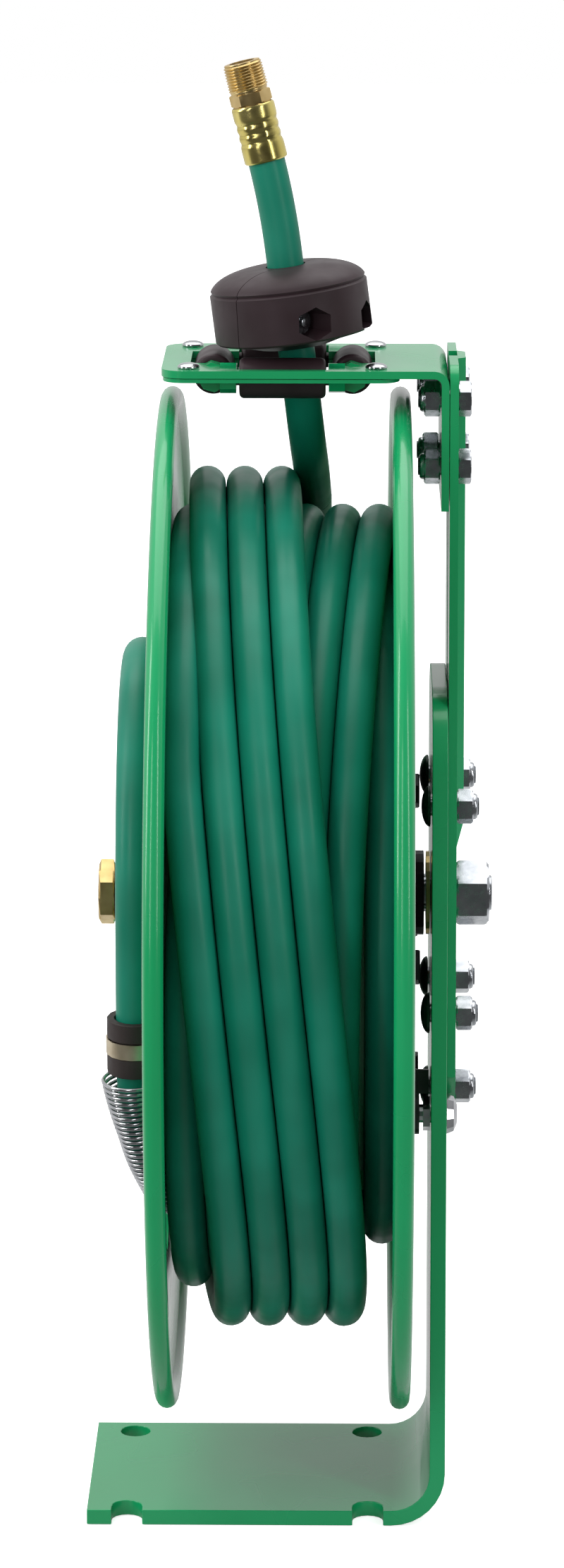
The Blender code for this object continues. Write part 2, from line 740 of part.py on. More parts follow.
def run_x(level, start):
    """Where the hose stands along the axle at this level: the stop leans, and the end leans more."""
    guide = ROLLER_LEVEL
    lean_low = math.tan(math.radians(STOP_LEAN))
    lean_high = math.tan(math.radians(END_LEAN))
    bend = FERRULE_BASE - BEND_FOOT
    if level < guide:
        part = (level - start.z) / (guide - start.z)
        return start.x + (GUIDE_X + RUN_IN_WINDOW - start.x) * part ** 1.3
    x = GUIDE_X + RUN_IN_WINDOW - (level - guide) * lean_low
    bent = max(0.0, min(level, FERRULE_BASE) - BEND_FOOT) / bend
    x -= (lean_high - lean_low) * bend * bent * bent / 2
    return x - max(0.0, level - FERRULE_BASE) * (lean_high - lean_low)


def hubs(look, body):
    inner = AXLE / 2 + RUNNING
    right = RATCHET_OUT + GAP
    profile = [(right, inner), (right, HUB / 2 + 0.002), (right + 0.0015, HUB / 2)]
    profile += [(right + HUB_LENGTH, HUB / 2), (right + HUB_LENGTH, inner)]
    solid("right_hub", lathe(profile, 18, True), look, body)
    left = LEFT_WEB - DISC_SHEET - GAP
    end = left - LEFT_HUB_LENGTH
    wall = left - 0.0025
    profile = [(end, 0.0045), (end, HUB / 2), (left, HUB / 2)]
    profile += [(left, inner), (wall, inner), (wall, 0.0045)]
    solid("left_hub", lathe(profile, 16, True), look, body)


def ratchet_plate(look, body):
    outline = []
    pitch = 360 / RATCHET_TEETH
    for tooth in range(RATCHET_TEETH):
        start = RATCHET_START + tooth * pitch
        for at, radius in (
            (0.0, RATCHET_ROOT),
            (RATCHET_LEAN, RATCHET_OUTER),
            (RATCHET_LEAN + (pitch - RATCHET_LEAN) / 2, (RATCHET_OUTER + RATCHET_ROOT) / 2),
        ):
            p = on_wheel(start + at, radius, 0)
            outline.append((p.y, p.z))
    obj = solid("ratchet_plate", prism_x(outline, RATCHET_IN, RATCHET_OUT), look, body, smooth=False)
    cut(obj, pin((RATCHET_IN - 0.01, 0, 0), (1, 0, 0), 0.03, AXLE / 2 + AXLE_ROOM, 24))
    for y, z in hub_bolt_places():
        cut(obj, pin((RATCHET_IN - 0.01, y, z), (1, 0, 0), 0.03, HUB_BOLT_HOLE / 2))
    return obj


def hub_bolts(look, body):
    face = RATCHET_OUT + GAP
    end = RIGHT_WEB - GAP - CASE_SHEET - 0.004
    for i, (y, z) in enumerate(hub_bolt_places()):
        bm = stacked([
            (face + 0.0036, "hex", 0.0120), (face + 0.0030, "hex", BOLT_AF), (face, "hex", BOLT_AF),
            (face, "round", 0.0077), (end, "round", 0.0070),
        ])
        solid(f"hub_bolt_{i + 1}", moved(bm, Matrix.Translation((0, y, z))), look, body)


def spring_case(look, body):
    """A cup on the right disc's inner face, open towards the disc."""
    right = RIGHT_WEB - GAP
    left = right - CASE_LENGTH
    inner = CASE_OUTER - CASE_SHEET
    bore = AXLE / 2 + AXLE_ROOM
    profile = [(left, bore), (left, CASE_OUTER), (right, CASE_OUTER), (right, bore)]
    profile += [(right - CASE_SHEET, bore), (right - CASE_SHEET, inner)]
    profile += [(left + CASE_SHEET, inner), (left + CASE_SHEET, bore)]
    obj = solid("spring_case", lathe(profile, 24, True), look, body)
    for y, z in hub_bolt_places():
        cut(obj, pin((right - 0.003, y, z), (1, 0, 0), 0.006, HUB_BOLT_HOLE / 2))
    return obj


def power_spring(look, body):
    """The rewind spring, a flat strip wound in a spiral from the arbor to the case."""
    middle = RIGHT_WEB - GAP - CASE_LENGTH / 2 - 0.001
    bm = bmesh.new()
    start = ARBOR / 2 + 0.0003 + SPRING_STRIP / 2
    stop = CASE_OUTER - CASE_SHEET - 0.0003 - SPRING_STRIP / 2
    per_turn = 16
    count = SPRING_TURNS * per_turn
    rows = []
    for i in range(count + 1):
        part = i / count
        radius = start + 0.0006 + (stop - start - 0.0012) * part ** 0.8
        row = []
        for x, out in ((-0.5, -0.5), (-0.5, 0.5), (0.5, 0.5), (0.5, -0.5)):
            p = on_wheel(-360 * i / per_turn, radius + out * SPRING_STRIP, middle + x * SPRING_WIDTH)
            row.append(bm.verts.new(p))
        rows.append(row)
    ring_face(bm, rows, False)
    return solid("power_spring", bm, look, body)


# Feed line

def feed_route():
    """From the elbow up over the axle, down the front, through the clamp and the disc's slot."""
    return [Vector((FEED_X + x, y, z)) for y, z, x in FEED_ROUTE]


def clamp_screw_place():
    return CLAMP_PLACE.y + HOSE / 2 + CLAMP_CUSHION + CLAMP_STRAP + 0.0080, CLAMP_PLACE.z


def hose_clamp(cushion_look, strap_look, screw_look, body):
    """A cushioned strap clamp: rubber round the hose, a steel strap over it, one screw to the disc."""
    x, y, z = CLAMP_PLACE
    web = LEFT_DISC - DISC_SHEET / 2 - GAP
    rubber_in = HOSE / 2 + 2 * GAP
    rubber_out = rubber_in + CLAMP_CUSHION
    strap_in = rubber_out + 2 * GAP
    strap_out = strap_in + CLAMP_STRAP
    half = CLAMP_WIDTH / 2
    ring = [(z - half, rubber_in), (z - half, rubber_out + 0.0012), (z - 0.0035, rubber_out + 0.0012)]
    ring += [(z - 0.0035, rubber_out), (z + 0.0035, rubber_out), (z + 0.0035, rubber_out + 0.0012)]
    ring += [(z + half, rubber_out + 0.0012), (z + half, rubber_in)]
    bm = lathe([(at - z, radius) for at, radius in ring], 16, True)
    upright = frame_along(CLAMP_PLACE, CLAMP_WAY)
    cushion = solid("clamp_cushion", moved(bm, upright), cushion_look, body)
    cut(cushion, block(web - 0.0008, web + 0.02, y - 0.03, y + 0.03, z - 0.03, z + 0.03))
    band = 0.0031
    bm = lathe([(-band, strap_in), (-band, strap_out), (band, strap_out), (band, strap_in)], 16, True)
    strap = solid("clamp_strap", moved(bm, upright), strap_look, body)
    ear_end = y + strap_out + 0.0150
    thick = 0.0022
    ear_z = z - CLAMP_WAY.y * strap_out
    ear = band - GAP
    join(strap, block(web - thick, web, y + strap_in * 0.72, ear_end, ear_z - ear, ear_z + ear))
    cut(strap, pin(CLAMP_PLACE - CLAMP_WAY * 0.02, CLAMP_WAY, 0.04, strap_in + GAP, 32))
    cut(strap, block(web, web + 0.02, y - 0.03, y + 0.03, z - 0.03, z + 0.03))
    sy, sz = clamp_screw_place()
    cut(strap, pin((web - 0.01, sy, sz), (1, 0, 0), 0.02, 0.0028))
    face = web - thick - GAP
    tip = LEFT_WEB + 0.0014
    bm = stacked([
        (face - 0.0042, "round", 0.0050), (face - 0.0034, "round", 0.0086), (face, "round", 0.0092),
        (face, "round", 0.0050), (tip, "round", 0.0046),
    ])
    solid("clamp_screw", moved(bm, Matrix.Translation((0, sy, sz))), screw_look, body)


def bend_coil(route, look, body):
    """The steel coil that guards the hose where it turns into the slot."""
    stop_x = LEFT_WEB + 0.0030
    near = [i for i, p in enumerate(route) if p.z < COIL_START_Z and p.y < COIL_FRONT and p.x < stop_x]
    spine = route[near[0]:near[-1] + 1]
    spine = smooth_route(spine, 0.0005)
    length = sum((b - a).length for a, b in zip(spine, spine[1:]))
    curls = int(length / COIL_PITCH)
    per_curl = 8
    count = curls * per_curl
    across = Vector((0, 1, 0))
    points = []
    for i in range(count + 1):
        part = i / count
        at = part * (len(spine) - 1)
        low = min(int(at), len(spine) - 2)
        centre = spine[low].lerp(spine[low + 1], at - low)
        way = (spine[low + 1] - spine[low]).normalized()
        side = (across - way * across.dot(way)).normalized()
        other = way.cross(side)
        radius = COIL_END + (COIL_MOUTH - COIL_END) * max(0.0, 1 - part * 2.2)
        a = 2 * math.pi * i / per_curl
        points.append(centre + (side * math.cos(a) + other * math.sin(a)) * radius)
    print(f"bend_coil: {curls} curls, least gap {least_gap(points, COIL_WIRE, 5) * 1000:.2f} mm")
    return tube("bend_coil", points, COIL_WIRE / 2, look, body, 1)


def swivel_elbow(look, body, outlet, way):
    """The elbow that turns with the spool and feeds the hose, on the hub's outer face."""
    right = LEFT_WEB - DISC_SHEET - LEFT_HUB_LENGTH - 2 * GAP
    left = right - SWIVEL_LENGTH
    bore = 0.0052
    radius = SWIVEL_BODY / 2
    obj = solid("swivel_elbow", stacked([
        (left, "round", SWIVEL_BODY - 0.0016), (left + 0.0008, "round", SWIVEL_BODY),
        (right, "round", SWIVEL_BODY),
    ], 18), look, body)
    centre = Vector((outlet.x, 0, 0))
    reach = (outlet - centre).length - 2 * GAP
    join(obj, pin(centre, outlet - centre, reach, NOZZLE / 2, 16))
    cut(obj, pin((left - 0.01, 0, 0), (1, 0, 0), 0.01 + SWIVEL_LENGTH * 0.75, bore + 0.0022, 20))
    cut(obj, pin(centre, outlet - centre, reach + 0.01, NOZZLE / 2 - 0.0018, 12))
    return left


def swivel_inlet(look, body, left):
    """The still half of the swivel: a hexagon with a threaded bore, and a spigot in the elbow."""
    right = left - GAP
    spigot = 0.0070
    obj = solid("swivel_inlet", stacked([
        (right - INLET_LENGTH, "round", INLET_AF - 0.0006), (right - INLET_LENGTH + 0.0009, "hex", INLET_AF),
        (right - 0.0006, "hex", INLET_AF), (right, "round", INLET_AF),
        (right, "round", 2 * spigot), (right + SWIVEL_LENGTH * 0.55, "round", 2 * spigot),
    ], 12), look, body)
    cut(obj, pin((right - 0.02, 0, 0), (1, 0, 0), 0.05, 0.0045, 16))
    cut(obj, pin((right - INLET_LENGTH - 0.01, 0, 0), (1, 0, 0), 0.01 + INLET_LENGTH * 0.9, 0.0078, 20))
    return obj


# Pawl

def pawl_turned(y, z):
    """A point of the engaged pawl, given about its pivot, swung out to rest."""
    a = math.radians(-PAWL_REST_SWING)
    return (
        PAWL_Y + y * math.cos(a) - z * math.sin(a),
        PAWL_Z + y * math.sin(a) + z * math.cos(a),
    )


def pawl_outline():
    """The engaged pawl's (y, z) about its pivot: a round boss and a nose in the ratchet's notch."""
    nose = []
    for psi, radius in ((176.4, 0.0602), (171.5, 0.0625), (171.0, 0.0700)):
        p = on_wheel(psi, radius, 0)
        nose.append((p.y - PAWL_Y, p.z - PAWL_Z))
    heel = on_wheel(181.5, 0.0690, 0)
    return nose, (heel.y - PAWL_Y, heel.z - PAWL_Z)


def pawl(look, body):
    nose, heel = pawl_outline()
    boss = 0.0085
    outline = arc(0, 0, boss, 115, 310, 10) + [heel] + nose
    turned = [pawl_turned(y, z) for y, z in outline]
    obj = solid("pawl", prism_x(turned, RATCHET_IN + 0.0008, RATCHET_OUT + 0.0038), look, body)
    for foot, x0, x1 in (
        (0.0, RATCHET_IN + 0.0008, RATCHET_OUT + 0.0038),
        (PAWL_LUG_FOOT, RATCHET_OUT + 0.0030, UPRIGHT_IN - 0.0008),
    ):
        lug = [(-0.006, foot), (0.005, foot), (0.004, PAWL_LUG_TOP), (-0.004, PAWL_LUG_TOP)]
        join(obj, prism_x([pawl_turned(y, z) for y, z in lug], x0, x1))
    bore = BOLT / 2 + RUNNING
    cut(obj, pin((RATCHET_IN - 0.01, PAWL_Y, PAWL_Z), (1, 0, 0), 0.04, bore, 16))
    return obj


def pawl_pivot(look):
    """The pivot bolt, with its nut on the upright's inner face."""
    head = UPRIGHT_OUT + GAP
    nut = UPRIGHT_IN - GAP
    shank = BOLT - SHANK_PLAY
    end = RATCHET_IN - 0.0001
    bm = stacked([
        (head + 0.0042, "round", 0.0080), (head + 0.0028, "round", 0.0146), (head, "round", DOME),
        (head, "round", shank), (nut, "round", shank), (nut, "hex", BOLT_AF),
        (nut - 0.0028, "hex", BOLT_AF), (nut - 0.0028, "round", shank), (end, "round", shank),
    ])
    solid("pawl_bolt", moved(bm, Matrix.Translation((0, PAWL_Y, PAWL_Z))), look)


# Guide head

def roller_places():
    """(name, centre x, centre y, along) of each roller's middle."""
    side = SIDE_ROLLER_SPREAD / 2
    front = FRONT_ROLLER_SPREAD / 2
    return [
        ("left_roller", GUIDE_X - side, 0.0, "y"),
        ("right_roller", GUIDE_X + side, 0.0, "y"),
        ("front_roller", GUIDE_X, -front, "x"),
        ("rear_roller", GUIDE_X, front, "x"),
    ]


def journal_lines():
    """(start, direction, length) of the journal seats, from each roller's end outwards."""
    found = []
    for _, x, y, along in roller_places():
        length = SIDE_ROLLER_LENGTH if along == "y" else FRONT_ROLLER_LENGTH
        for way in (-1, 1):
            if along == "y":
                found.append(((x, y + way * length / 2, ROLLER_LEVEL), (0, way, 0)))
            else:
                found.append(((x + way * length / 2, y, ROLLER_LEVEL), (way, 0, 0)))
    return found


def window_outlines():
    """The plus-shaped opening that the rollers stand in, as two rectangles."""
    play = 0.0010
    side = SIDE_ROLLER_SPREAD / 2 + ROLLER / 2 + play
    length = SIDE_ROLLER_LENGTH / 2 + play
    front = FRONT_ROLLER_SPREAD / 2 + ROLLER / 2 + play
    width = FRONT_ROLLER_LENGTH / 2 + play
    return [
        [(GUIDE_X - side, -length), (GUIDE_X + side, -length), (GUIDE_X + side, length),
         (GUIDE_X - side, length)],
        [(GUIDE_X - width, -front), (GUIDE_X + width, -front), (GUIDE_X + width, front),
         (GUIDE_X - width, front)],
    ]


def rivet_places():
    middle = GUIDE_X
    return [
        (middle + sx * RIVET_SPREAD_X / 2, sy * RIVET_SPREAD_Y / 2)
        for sx in (-1, 1) for sy in (-1, 1)
    ]


def bracket(look):
    """The head plate, bent down at the right into the flange that bolts to the arm."""
    low = ROLLER_LEVEL + BRACKET_RISE
    high = low + BRACKET_PLATE
    left = RIGHT_DISC - BRACKET_LEFT
    right = UPRIGHT_OUT
    bottom = high - FLANGE_DROP
    half = ARM_DEPTH / 2
    bend = BRACKET_BEND
    outline = [(left, low), (left, high)]
    outline += arc(right - bend, high - bend, bend, 90, 0, 5)
    outline += [(right, bottom), (right - BRACKET_PLATE, bottom)]
    outline += arc(right - bend, high - bend, bend - BRACKET_PLATE, 0, 90, 4)
    obj = solid("roller_bracket", prism_y(outline, -half, half), look)
    corner = BRACKET_CORNER
    for side in (-1, 1):
        inner = side * (half - corner)
        edge = side * (half + 0.01)
        first = 90 if side > 0 else 270
        piece = arc(left + corner, inner, corner, first, 180, 5)
        piece += [(left - 0.01, inner), (left - 0.01, edge), (left + corner, edge)]
        cut(obj, prism_z(piece, low - 0.01, high + 0.01))
    for start, way in journal_lines():
        seat = Vector(start) + Vector(way) * 0.0012
        shell = pin(seat, way, JOURNAL + 0.0026, HUMP, 8)
        bmesh.ops.bisect_plane(
            shell, geom=shell.verts[:] + shell.edges[:] + shell.faces[:], dist=1e-7,
            plane_co=(0, 0, low + 0.0010), plane_no=(0, 0, 1), clear_inner=True,
        )
        bmesh.ops.holes_fill(shell, edges=shell.edges[:])
        join(obj, shell)
    finish_plate(obj, low, high)
    for y, z in head_bolt_places():
        cut(obj, pin((right - 0.02, y, z), (1, 0, 0), 0.04, BOLT / 2 + GAP))
    return obj


def finish_plate(obj, low, high):
    for start, way in journal_lines():
        back = Vector(start) - Vector(way) * 0.002
        cut(obj, pin(back, way, JOURNAL + 0.0024, ROLLER_PIN / 2 + 2 * GAP, 8))
    for outline in window_outlines():
        cut(obj, prism_z(outline, low - 0.02, high + 0.02))
    for x, y in rivet_places():
        cut(obj, pin((x, y, low - 0.01), (0, 0, 1), 0.03, RIVET_HOLE / 2))


def keeper(look):
    """The thin plate under the head plate, which holds the journals from below."""
    high = ROLLER_LEVEL + BRACKET_RISE - GAP
    low = high - KEEPER_PLATE
    left = RIGHT_DISC - BRACKET_LEFT + 0.0006
    right = GUIDE_X + RIVET_SPREAD_X / 2 + 0.0095
    half = ARM_DEPTH / 2 - 0.0006
    obj = solid("keeper_plate", prism_z(rounded_box(left, right, -half, half, 0.008), low, high), look)
    for start, way in journal_lines():
        seat = Vector(start) + Vector(way) * 0.0012
        shell = pin(seat, way, JOURNAL + 0.0026, HUMP, 8)
        bmesh.ops.bisect_plane(
            shell, geom=shell.verts[:] + shell.edges[:] + shell.faces[:], dist=1e-7,
            plane_co=(0, 0, high - 0.0006), plane_no=(0, 0, 1), clear_outer=True,
        )
        bmesh.ops.holes_fill(shell, edges=shell.edges[:])
        join(obj, shell)
    finish_plate(obj, low, high)
    return obj


def rivets(look):
    low = ROLLER_LEVEL + BRACKET_RISE - GAP - KEEPER_PLATE
    high = ROLLER_LEVEL + BRACKET_RISE + BRACKET_PLATE
    for i, (x, y) in enumerate(rivet_places()):
        bm = stacked([
            (high + GAP + 0.0021, "round", 0.0050), (high + GAP, "round", 2 * RIVET_HEAD),
            (high + GAP, "round", 0.0042), (low - GAP, "round", 0.0042), (low - GAP, "round", 0.0070),
            (low - 0.0012, "round", 0.0050),
        ])
        place = Matrix.Translation((x, y, 0)) @ Matrix.Rotation(math.radians(-90), 4, "Y")
        solid(f"bracket_rivet_{i + 1}", moved(bm, place), look)


def rollers(look, bodies):
    """Each roller, with its journals turned on its ends."""
    edge = 0.0016
    for name, x, y, along in roller_places():
        length = SIDE_ROLLER_LENGTH if along == "y" else FRONT_ROLLER_LENGTH
        half = length / 2
        tip = half + JOURNAL - 0.0003
        bm = stacked([
            (-tip, "round", ROLLER_PIN), (-half, "round", ROLLER_PIN), (-half, "round", ROLLER - 2 * edge),
            (-half + edge, "round", ROLLER), (half - edge, "round", ROLLER),
            (half, "round", ROLLER - 2 * edge), (half, "round", ROLLER_PIN), (tip, "round", ROLLER_PIN),
        ], 12)
        turn = Matrix.Rotation(math.radians(90), 4, "Z") if along == "y" else Matrix.Identity(4)
        place = Matrix.Translation((x, y, ROLLER_LEVEL)) @ turn
        solid(name, moved(bm, place), look, bodies[name])


# Ball stop and hose end

def stop_frame(start):
    """The stop's own frame: +X up its axis, from its foot."""
    lean_way = Vector((-math.tan(math.radians(STOP_LEAN)), 0, 1))
    return frame_along((run_x(STOP_BASE, start), HOSE_Y, STOP_BASE), lean_way)


def ball_stop(look, screw_look, start):
    """Two clamped halves with a bore for the hose, and the two screws that hold them."""
    bore = HOSE / 2 + 0.0006
    place = stop_frame(start)
    back = place.inverted()
    profile = [(0, bore), (0, STOP_FOOT), (0.4 * STOP_CHAMFER, STOP_FOOT + 0.0062)]
    profile += [(STOP_CHAMFER, STOP_RADIUS), (STOP_CHAMFER + STOP_BAND, STOP_RADIUS)]
    rest = STOP_HEIGHT - STOP_CHAMFER - STOP_BAND
    top = bore + 0.0045
    for i in range(1, 5):
        a = math.radians(90 * i / 4)
        radius = top + (STOP_RADIUS - top) * math.cos(a)
        profile.append((STOP_CHAMFER + STOP_BAND + rest * math.sin(a), radius))
    profile.append((STOP_HEIGHT, bore))
    s = math.radians(STOP_SPLIT)
    normal = Vector((math.sin(s), -math.cos(s), 0))
    across = Vector((0, 0, 1)).cross(normal)
    middle = STOP_CHAMFER + STOP_BAND * 0.42
    for name, way in (("stop_half_front", 1), ("stop_half_back", -1)):
        obj = solid(name, moved(lathe(profile, 24, True), place), look)
        wall = block(-0.1, GAP / 2, -0.1, 0.1, -0.1, 0.1)
        cut(obj, moved(wall, place @ stop_turn(back, normal * way)))
        for offset in (-STOP_SCREW_OFFSET, STOP_SCREW_OFFSET):
            centre = place @ Vector((middle, 0, 0)) + across * offset
            cut(obj, pin(centre - normal * 0.05, normal, 0.10, STOP_SCREW_HOLE / 2))
            pocket = stacked([(STOP_SEAT, "hex", 0.0118), (0.05, "hex", 0.0118)])
            cut(obj, moved(pocket, frame_along(centre, normal * way)))
    for i, offset in enumerate((-STOP_SCREW_OFFSET, STOP_SCREW_OFFSET)):
        centre = place @ Vector((middle, 0, 0)) + across * offset
        seat = STOP_SEAT + GAP
        bm = stacked([
            (-seat - 0.0036, "hex", 0.0078), (-seat, "hex", 0.0080), (-seat, "round", 0.0040),
            (seat, "round", 0.0040), (seat, "hex", 0.0095), (seat + 0.0034, "hex", 0.0095),
            (seat + 0.0034, "round", 0.0040), (seat + 0.0052, "round", 0.0036),
        ])
        solid(f"stop_screw_{i + 1}", moved(bm, frame_along(centre, normal)), screw_look)


def stop_turn(back, normal):
    """The turn that lays +X along a world direction, inside the stop's own frame."""
    local = back.to_3x3() @ normal
    return Vector((1, 0, 0)).rotation_difference(local).to_matrix().to_4x4()


def hose_end(ferrule_look, brass, start):
    way = Vector((-math.tan(math.radians(END_LEAN)), 0, 1)).normalized()
    base = Vector((run_x(FERRULE_BASE, start), HOSE_Y, FERRULE_BASE))
    place = frame_along(base, way)
    inner = HOSE / 2 + 0.0005
    bulges = 4
    pitch = FERRULE_LENGTH / bulges
    profile = [(0, inner)]
    for i in range(bulges):
        profile += [
            (i * pitch + 0.0003, FERRULE / 2 - FERRULE_GROOVE), (i * pitch + pitch * 0.3, FERRULE / 2),
            (i * pitch + pitch * 0.7, FERRULE / 2),
        ]
    profile += [(FERRULE_LENGTH, FERRULE / 2 - FERRULE_GROOVE), (FERRULE_LENGTH, inner)]
    solid("crimp_ferrule", moved(lathe(profile, 14, True), place), ferrule_look)
    foot = FERRULE_LENGTH - FITTING_FOOT
    hex_at = FERRULE_LENGTH + GAP
    sections = [(foot, "round", 2 * inner - 0.0006), (hex_at, "round", 2 * inner - 0.0006)]
    sections += [(hex_at, "hex", FITTING_HEX), (hex_at + FITTING_HEX_LENGTH, "hex", FITTING_HEX)]
    begin = hex_at + FITTING_HEX_LENGTH + 0.0006
    step = THREAD_LENGTH / THREAD_RIDGES
    sections.append((hex_at + FITTING_HEX_LENGTH, "round", THREAD - 0.0022))
    for i in range(THREAD_RIDGES):
        taper = step * i / 16
        sections.append((begin + i * step, "round", THREAD - 0.0019 - taper))
        sections.append((begin + (i + 0.5) * step, "round", THREAD - taper))
    sections.append((begin + THREAD_LENGTH, "round", THREAD - 0.0026))
    obj = solid("end_fitting", moved(stacked(sections, 12), place), brass)
    cut(obj, pin(place @ Vector((foot - 0.01, 0, 0)), way, 0.06, 0.0052, 12))


def build():
    clear_scene()
    green = material("powder_green", (0.020, 0.330, 0.100), 0.28, 0.0)
    rubber = material("hose_green", (0.020, 0.200, 0.120), 0.55, 0.0)
    black = material("black_plastic", (0.020, 0.018, 0.017), 0.45, 0.0)
    soft = material("black_rubber", (0.030, 0.025, 0.025), 0.60, 0.0)
    steel = material("zinc_steel", (0.560, 0.570, 0.580), 0.35, 1.0)
    brass = material("brass", (0.560, 0.410, 0.160), 0.35, 1.0)
    dark = material("black_steel", (0.035, 0.038, 0.038), 0.40, 0.6)
    bright = material("bright_steel", (0.700, 0.710, 0.730), 0.18, 1.0)
    tan = material("zinc_yellow", (0.500, 0.400, 0.260), 0.45, 0.8)

    spool = axis_point("spool_axis", (LEFT_DISC + RIGHT_DISC) / 2, 0, 0)
    inlet = axis_point("inlet_axis", LEFT_DISC - 0.03, 0, 0)
    pivot = axis_point("pawl_axis", RATCHET_OUT, PAWL_Y, PAWL_Z)
    roller_bodies = {
        name: axis_point(name + "_axis", x, y, ROLLER_LEVEL) for name, x, y, _ in roller_places()
    }

    pedestal(green)
    guide_arm(green)
    fasteners(steel)
    axle_parts(steel, brass, dark)

    spool_discs(green, spool)
    drum(green, spool)
    turns, in_way, out_way = winding_route()
    hose_core(rubber, spool, turns[0], in_way)
    tube("hose_winding", turns, HOSE / 2, rubber, spool, 1)
    print(f"hose_winding: least gap {least_gap(turns, HOSE, 12) * 1000:.2f} mm")
    hubs(black, spool)
    ratchet_plate(dark, spool)
    hub_bolts(dark, spool)
    spring_case(dark, spool)
    power_spring(bright, spool)

    route = smooth_route(feed_route(), 0.0120)
    tube("feed_hose", route, HOSE / 2, rubber, spool, 2)
    hose_clamp(soft, tan, steel, spool)
    bend_coil(route, bright, spool)
    left = swivel_elbow(brass, spool, route[0], route[1] - route[0])
    swivel_inlet(brass, inlet, left)

    pawl(dark, pivot)
    pawl_pivot(bright)

    bracket(green)
    keeper(green)
    rivets(bright)
    rollers(black, roller_bodies)

    start = turns[-1] + out_way * GAP
    tube("hose_run", run_route(start, out_way), HOSE / 2, rubber, None, 2)
    ball_stop(black, steel, start)
    hose_end(tan, brass, start)


build()
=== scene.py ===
import json
import math

import bmesh
import bpy
import numpy as np
from mathutils import Matrix, Vector

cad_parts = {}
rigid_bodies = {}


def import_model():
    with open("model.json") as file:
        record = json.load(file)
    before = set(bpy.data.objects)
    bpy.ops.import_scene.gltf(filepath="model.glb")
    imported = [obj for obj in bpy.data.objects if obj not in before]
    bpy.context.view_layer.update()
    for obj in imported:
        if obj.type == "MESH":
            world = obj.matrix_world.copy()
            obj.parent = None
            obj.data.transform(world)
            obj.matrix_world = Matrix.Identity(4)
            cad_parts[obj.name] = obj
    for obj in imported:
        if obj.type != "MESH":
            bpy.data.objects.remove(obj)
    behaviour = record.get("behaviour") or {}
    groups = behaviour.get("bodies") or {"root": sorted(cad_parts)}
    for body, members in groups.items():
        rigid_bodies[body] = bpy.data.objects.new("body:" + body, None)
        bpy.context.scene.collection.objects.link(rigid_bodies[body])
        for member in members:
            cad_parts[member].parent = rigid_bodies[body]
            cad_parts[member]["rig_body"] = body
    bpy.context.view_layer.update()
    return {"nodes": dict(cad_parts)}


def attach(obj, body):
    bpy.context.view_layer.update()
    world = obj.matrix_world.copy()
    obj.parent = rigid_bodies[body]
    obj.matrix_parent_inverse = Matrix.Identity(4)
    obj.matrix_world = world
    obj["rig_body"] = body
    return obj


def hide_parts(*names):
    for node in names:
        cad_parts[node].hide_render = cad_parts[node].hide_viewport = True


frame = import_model()

# Sizes in metres, angles in degrees. x runs along the axle, y to the back and z up from the base.
# A level is a height above the axle.
AXLE_Z = 0.2560
AXLE_POINT = Vector((0, 0, AXLE_Z))
GAP = 0.0003
SHARP = 35.0
NUT_SHARP = 28.0
TUBE_SHARP = 60.0
THREAD_SHARP = 30.0
STOP_SHARP = 32.0

# Discs
RIGHT_DISC = 0.05485
LEFT_DISC = -0.03985
DISC_SHEET = 0.0020
LEFT_WEB = LEFT_DISC + DISC_SHEET / 2
DISC_RADIUS = 0.2105
DISC_BORE = 0.0109
DISC_STEPS = 160
RIM_BEAD = 0.0082
RIM_STEPS = 14
SLOT_TOP = Vector((-0.1125, -0.0560))
SLOT_FOOT = Vector((-0.0862, -0.1112))
SLOT_HALF = 0.0138
SLOT_STEPS = 16
SLOT_REACH = 0.006

# Stand and guide head
UPRIGHT_OUT = 0.0740
UPRIGHT_IN = 0.06765
ARM_OUT = 0.0778
ROLLER_LEVEL = 0.2202
GUIDE_X = RIGHT_DISC - 0.0482
BRACKET_SHEET = 0.0031
BRACKET_LIFT = 0.0018
ROLLER_SIDE = 0.0283
ROLLER_FRONT = 0.0240
SIDE_ROLLER = 0.0300
FRONT_ROLLER = 0.0350
ROLLER_END = 0.0125
ROLLER_SWELL = 0.0040
ROLLER_ROUND = 0.0020
ROLLER_PIN = 0.0060
ROLLER_PIN_OUT = 0.0037
PIN_CHAMFER = 0.0005
ROLLER_STEPS = 48
ROLLER_END_STEPS = 6

# Hose on the spool. Turns count past the top from the start of the lower layer
HOSE = 0.0151
HOSE_SIDES = 24
ENTRY_TURN = 0.1364
INNER_TURN = 0.1366
LOWER_TURN = 0.1541
OUTER_TURN = LOWER_TURN + 0.0157
INNER_ENTER = 150.0
INNER_SETTLED = 1500.0
INNER_LEAVE = 1755.0
INNER_TURNS = 5.0
INNER_STEP = 5.0
ENTRY_STEP = 4.0
ENTRY_EASE = 40
LEAVE_EASE = 120
LOWER_START = RIGHT_DISC - 0.0098
LOWER_PITCH = 0.0152
LOWER_SWAY = ((-3.1, -3.4), (-1.9, -1.0))
OUTER_START = RIGHT_DISC - 0.0946
OUTER_PITCH = 0.0154
OUTER_SWAY = ((6.7, 10.9), (-1.9, -4.3))
LAYER_END = 5.0
CLIMB_LEAD = 0.04
CLIMB_TURNS = 0.20
LAST_TURN = 8.9167
POINTS_PER_TURN = 90
LEFT_TURN = LEFT_WEB + HOSE / 2 + GAP

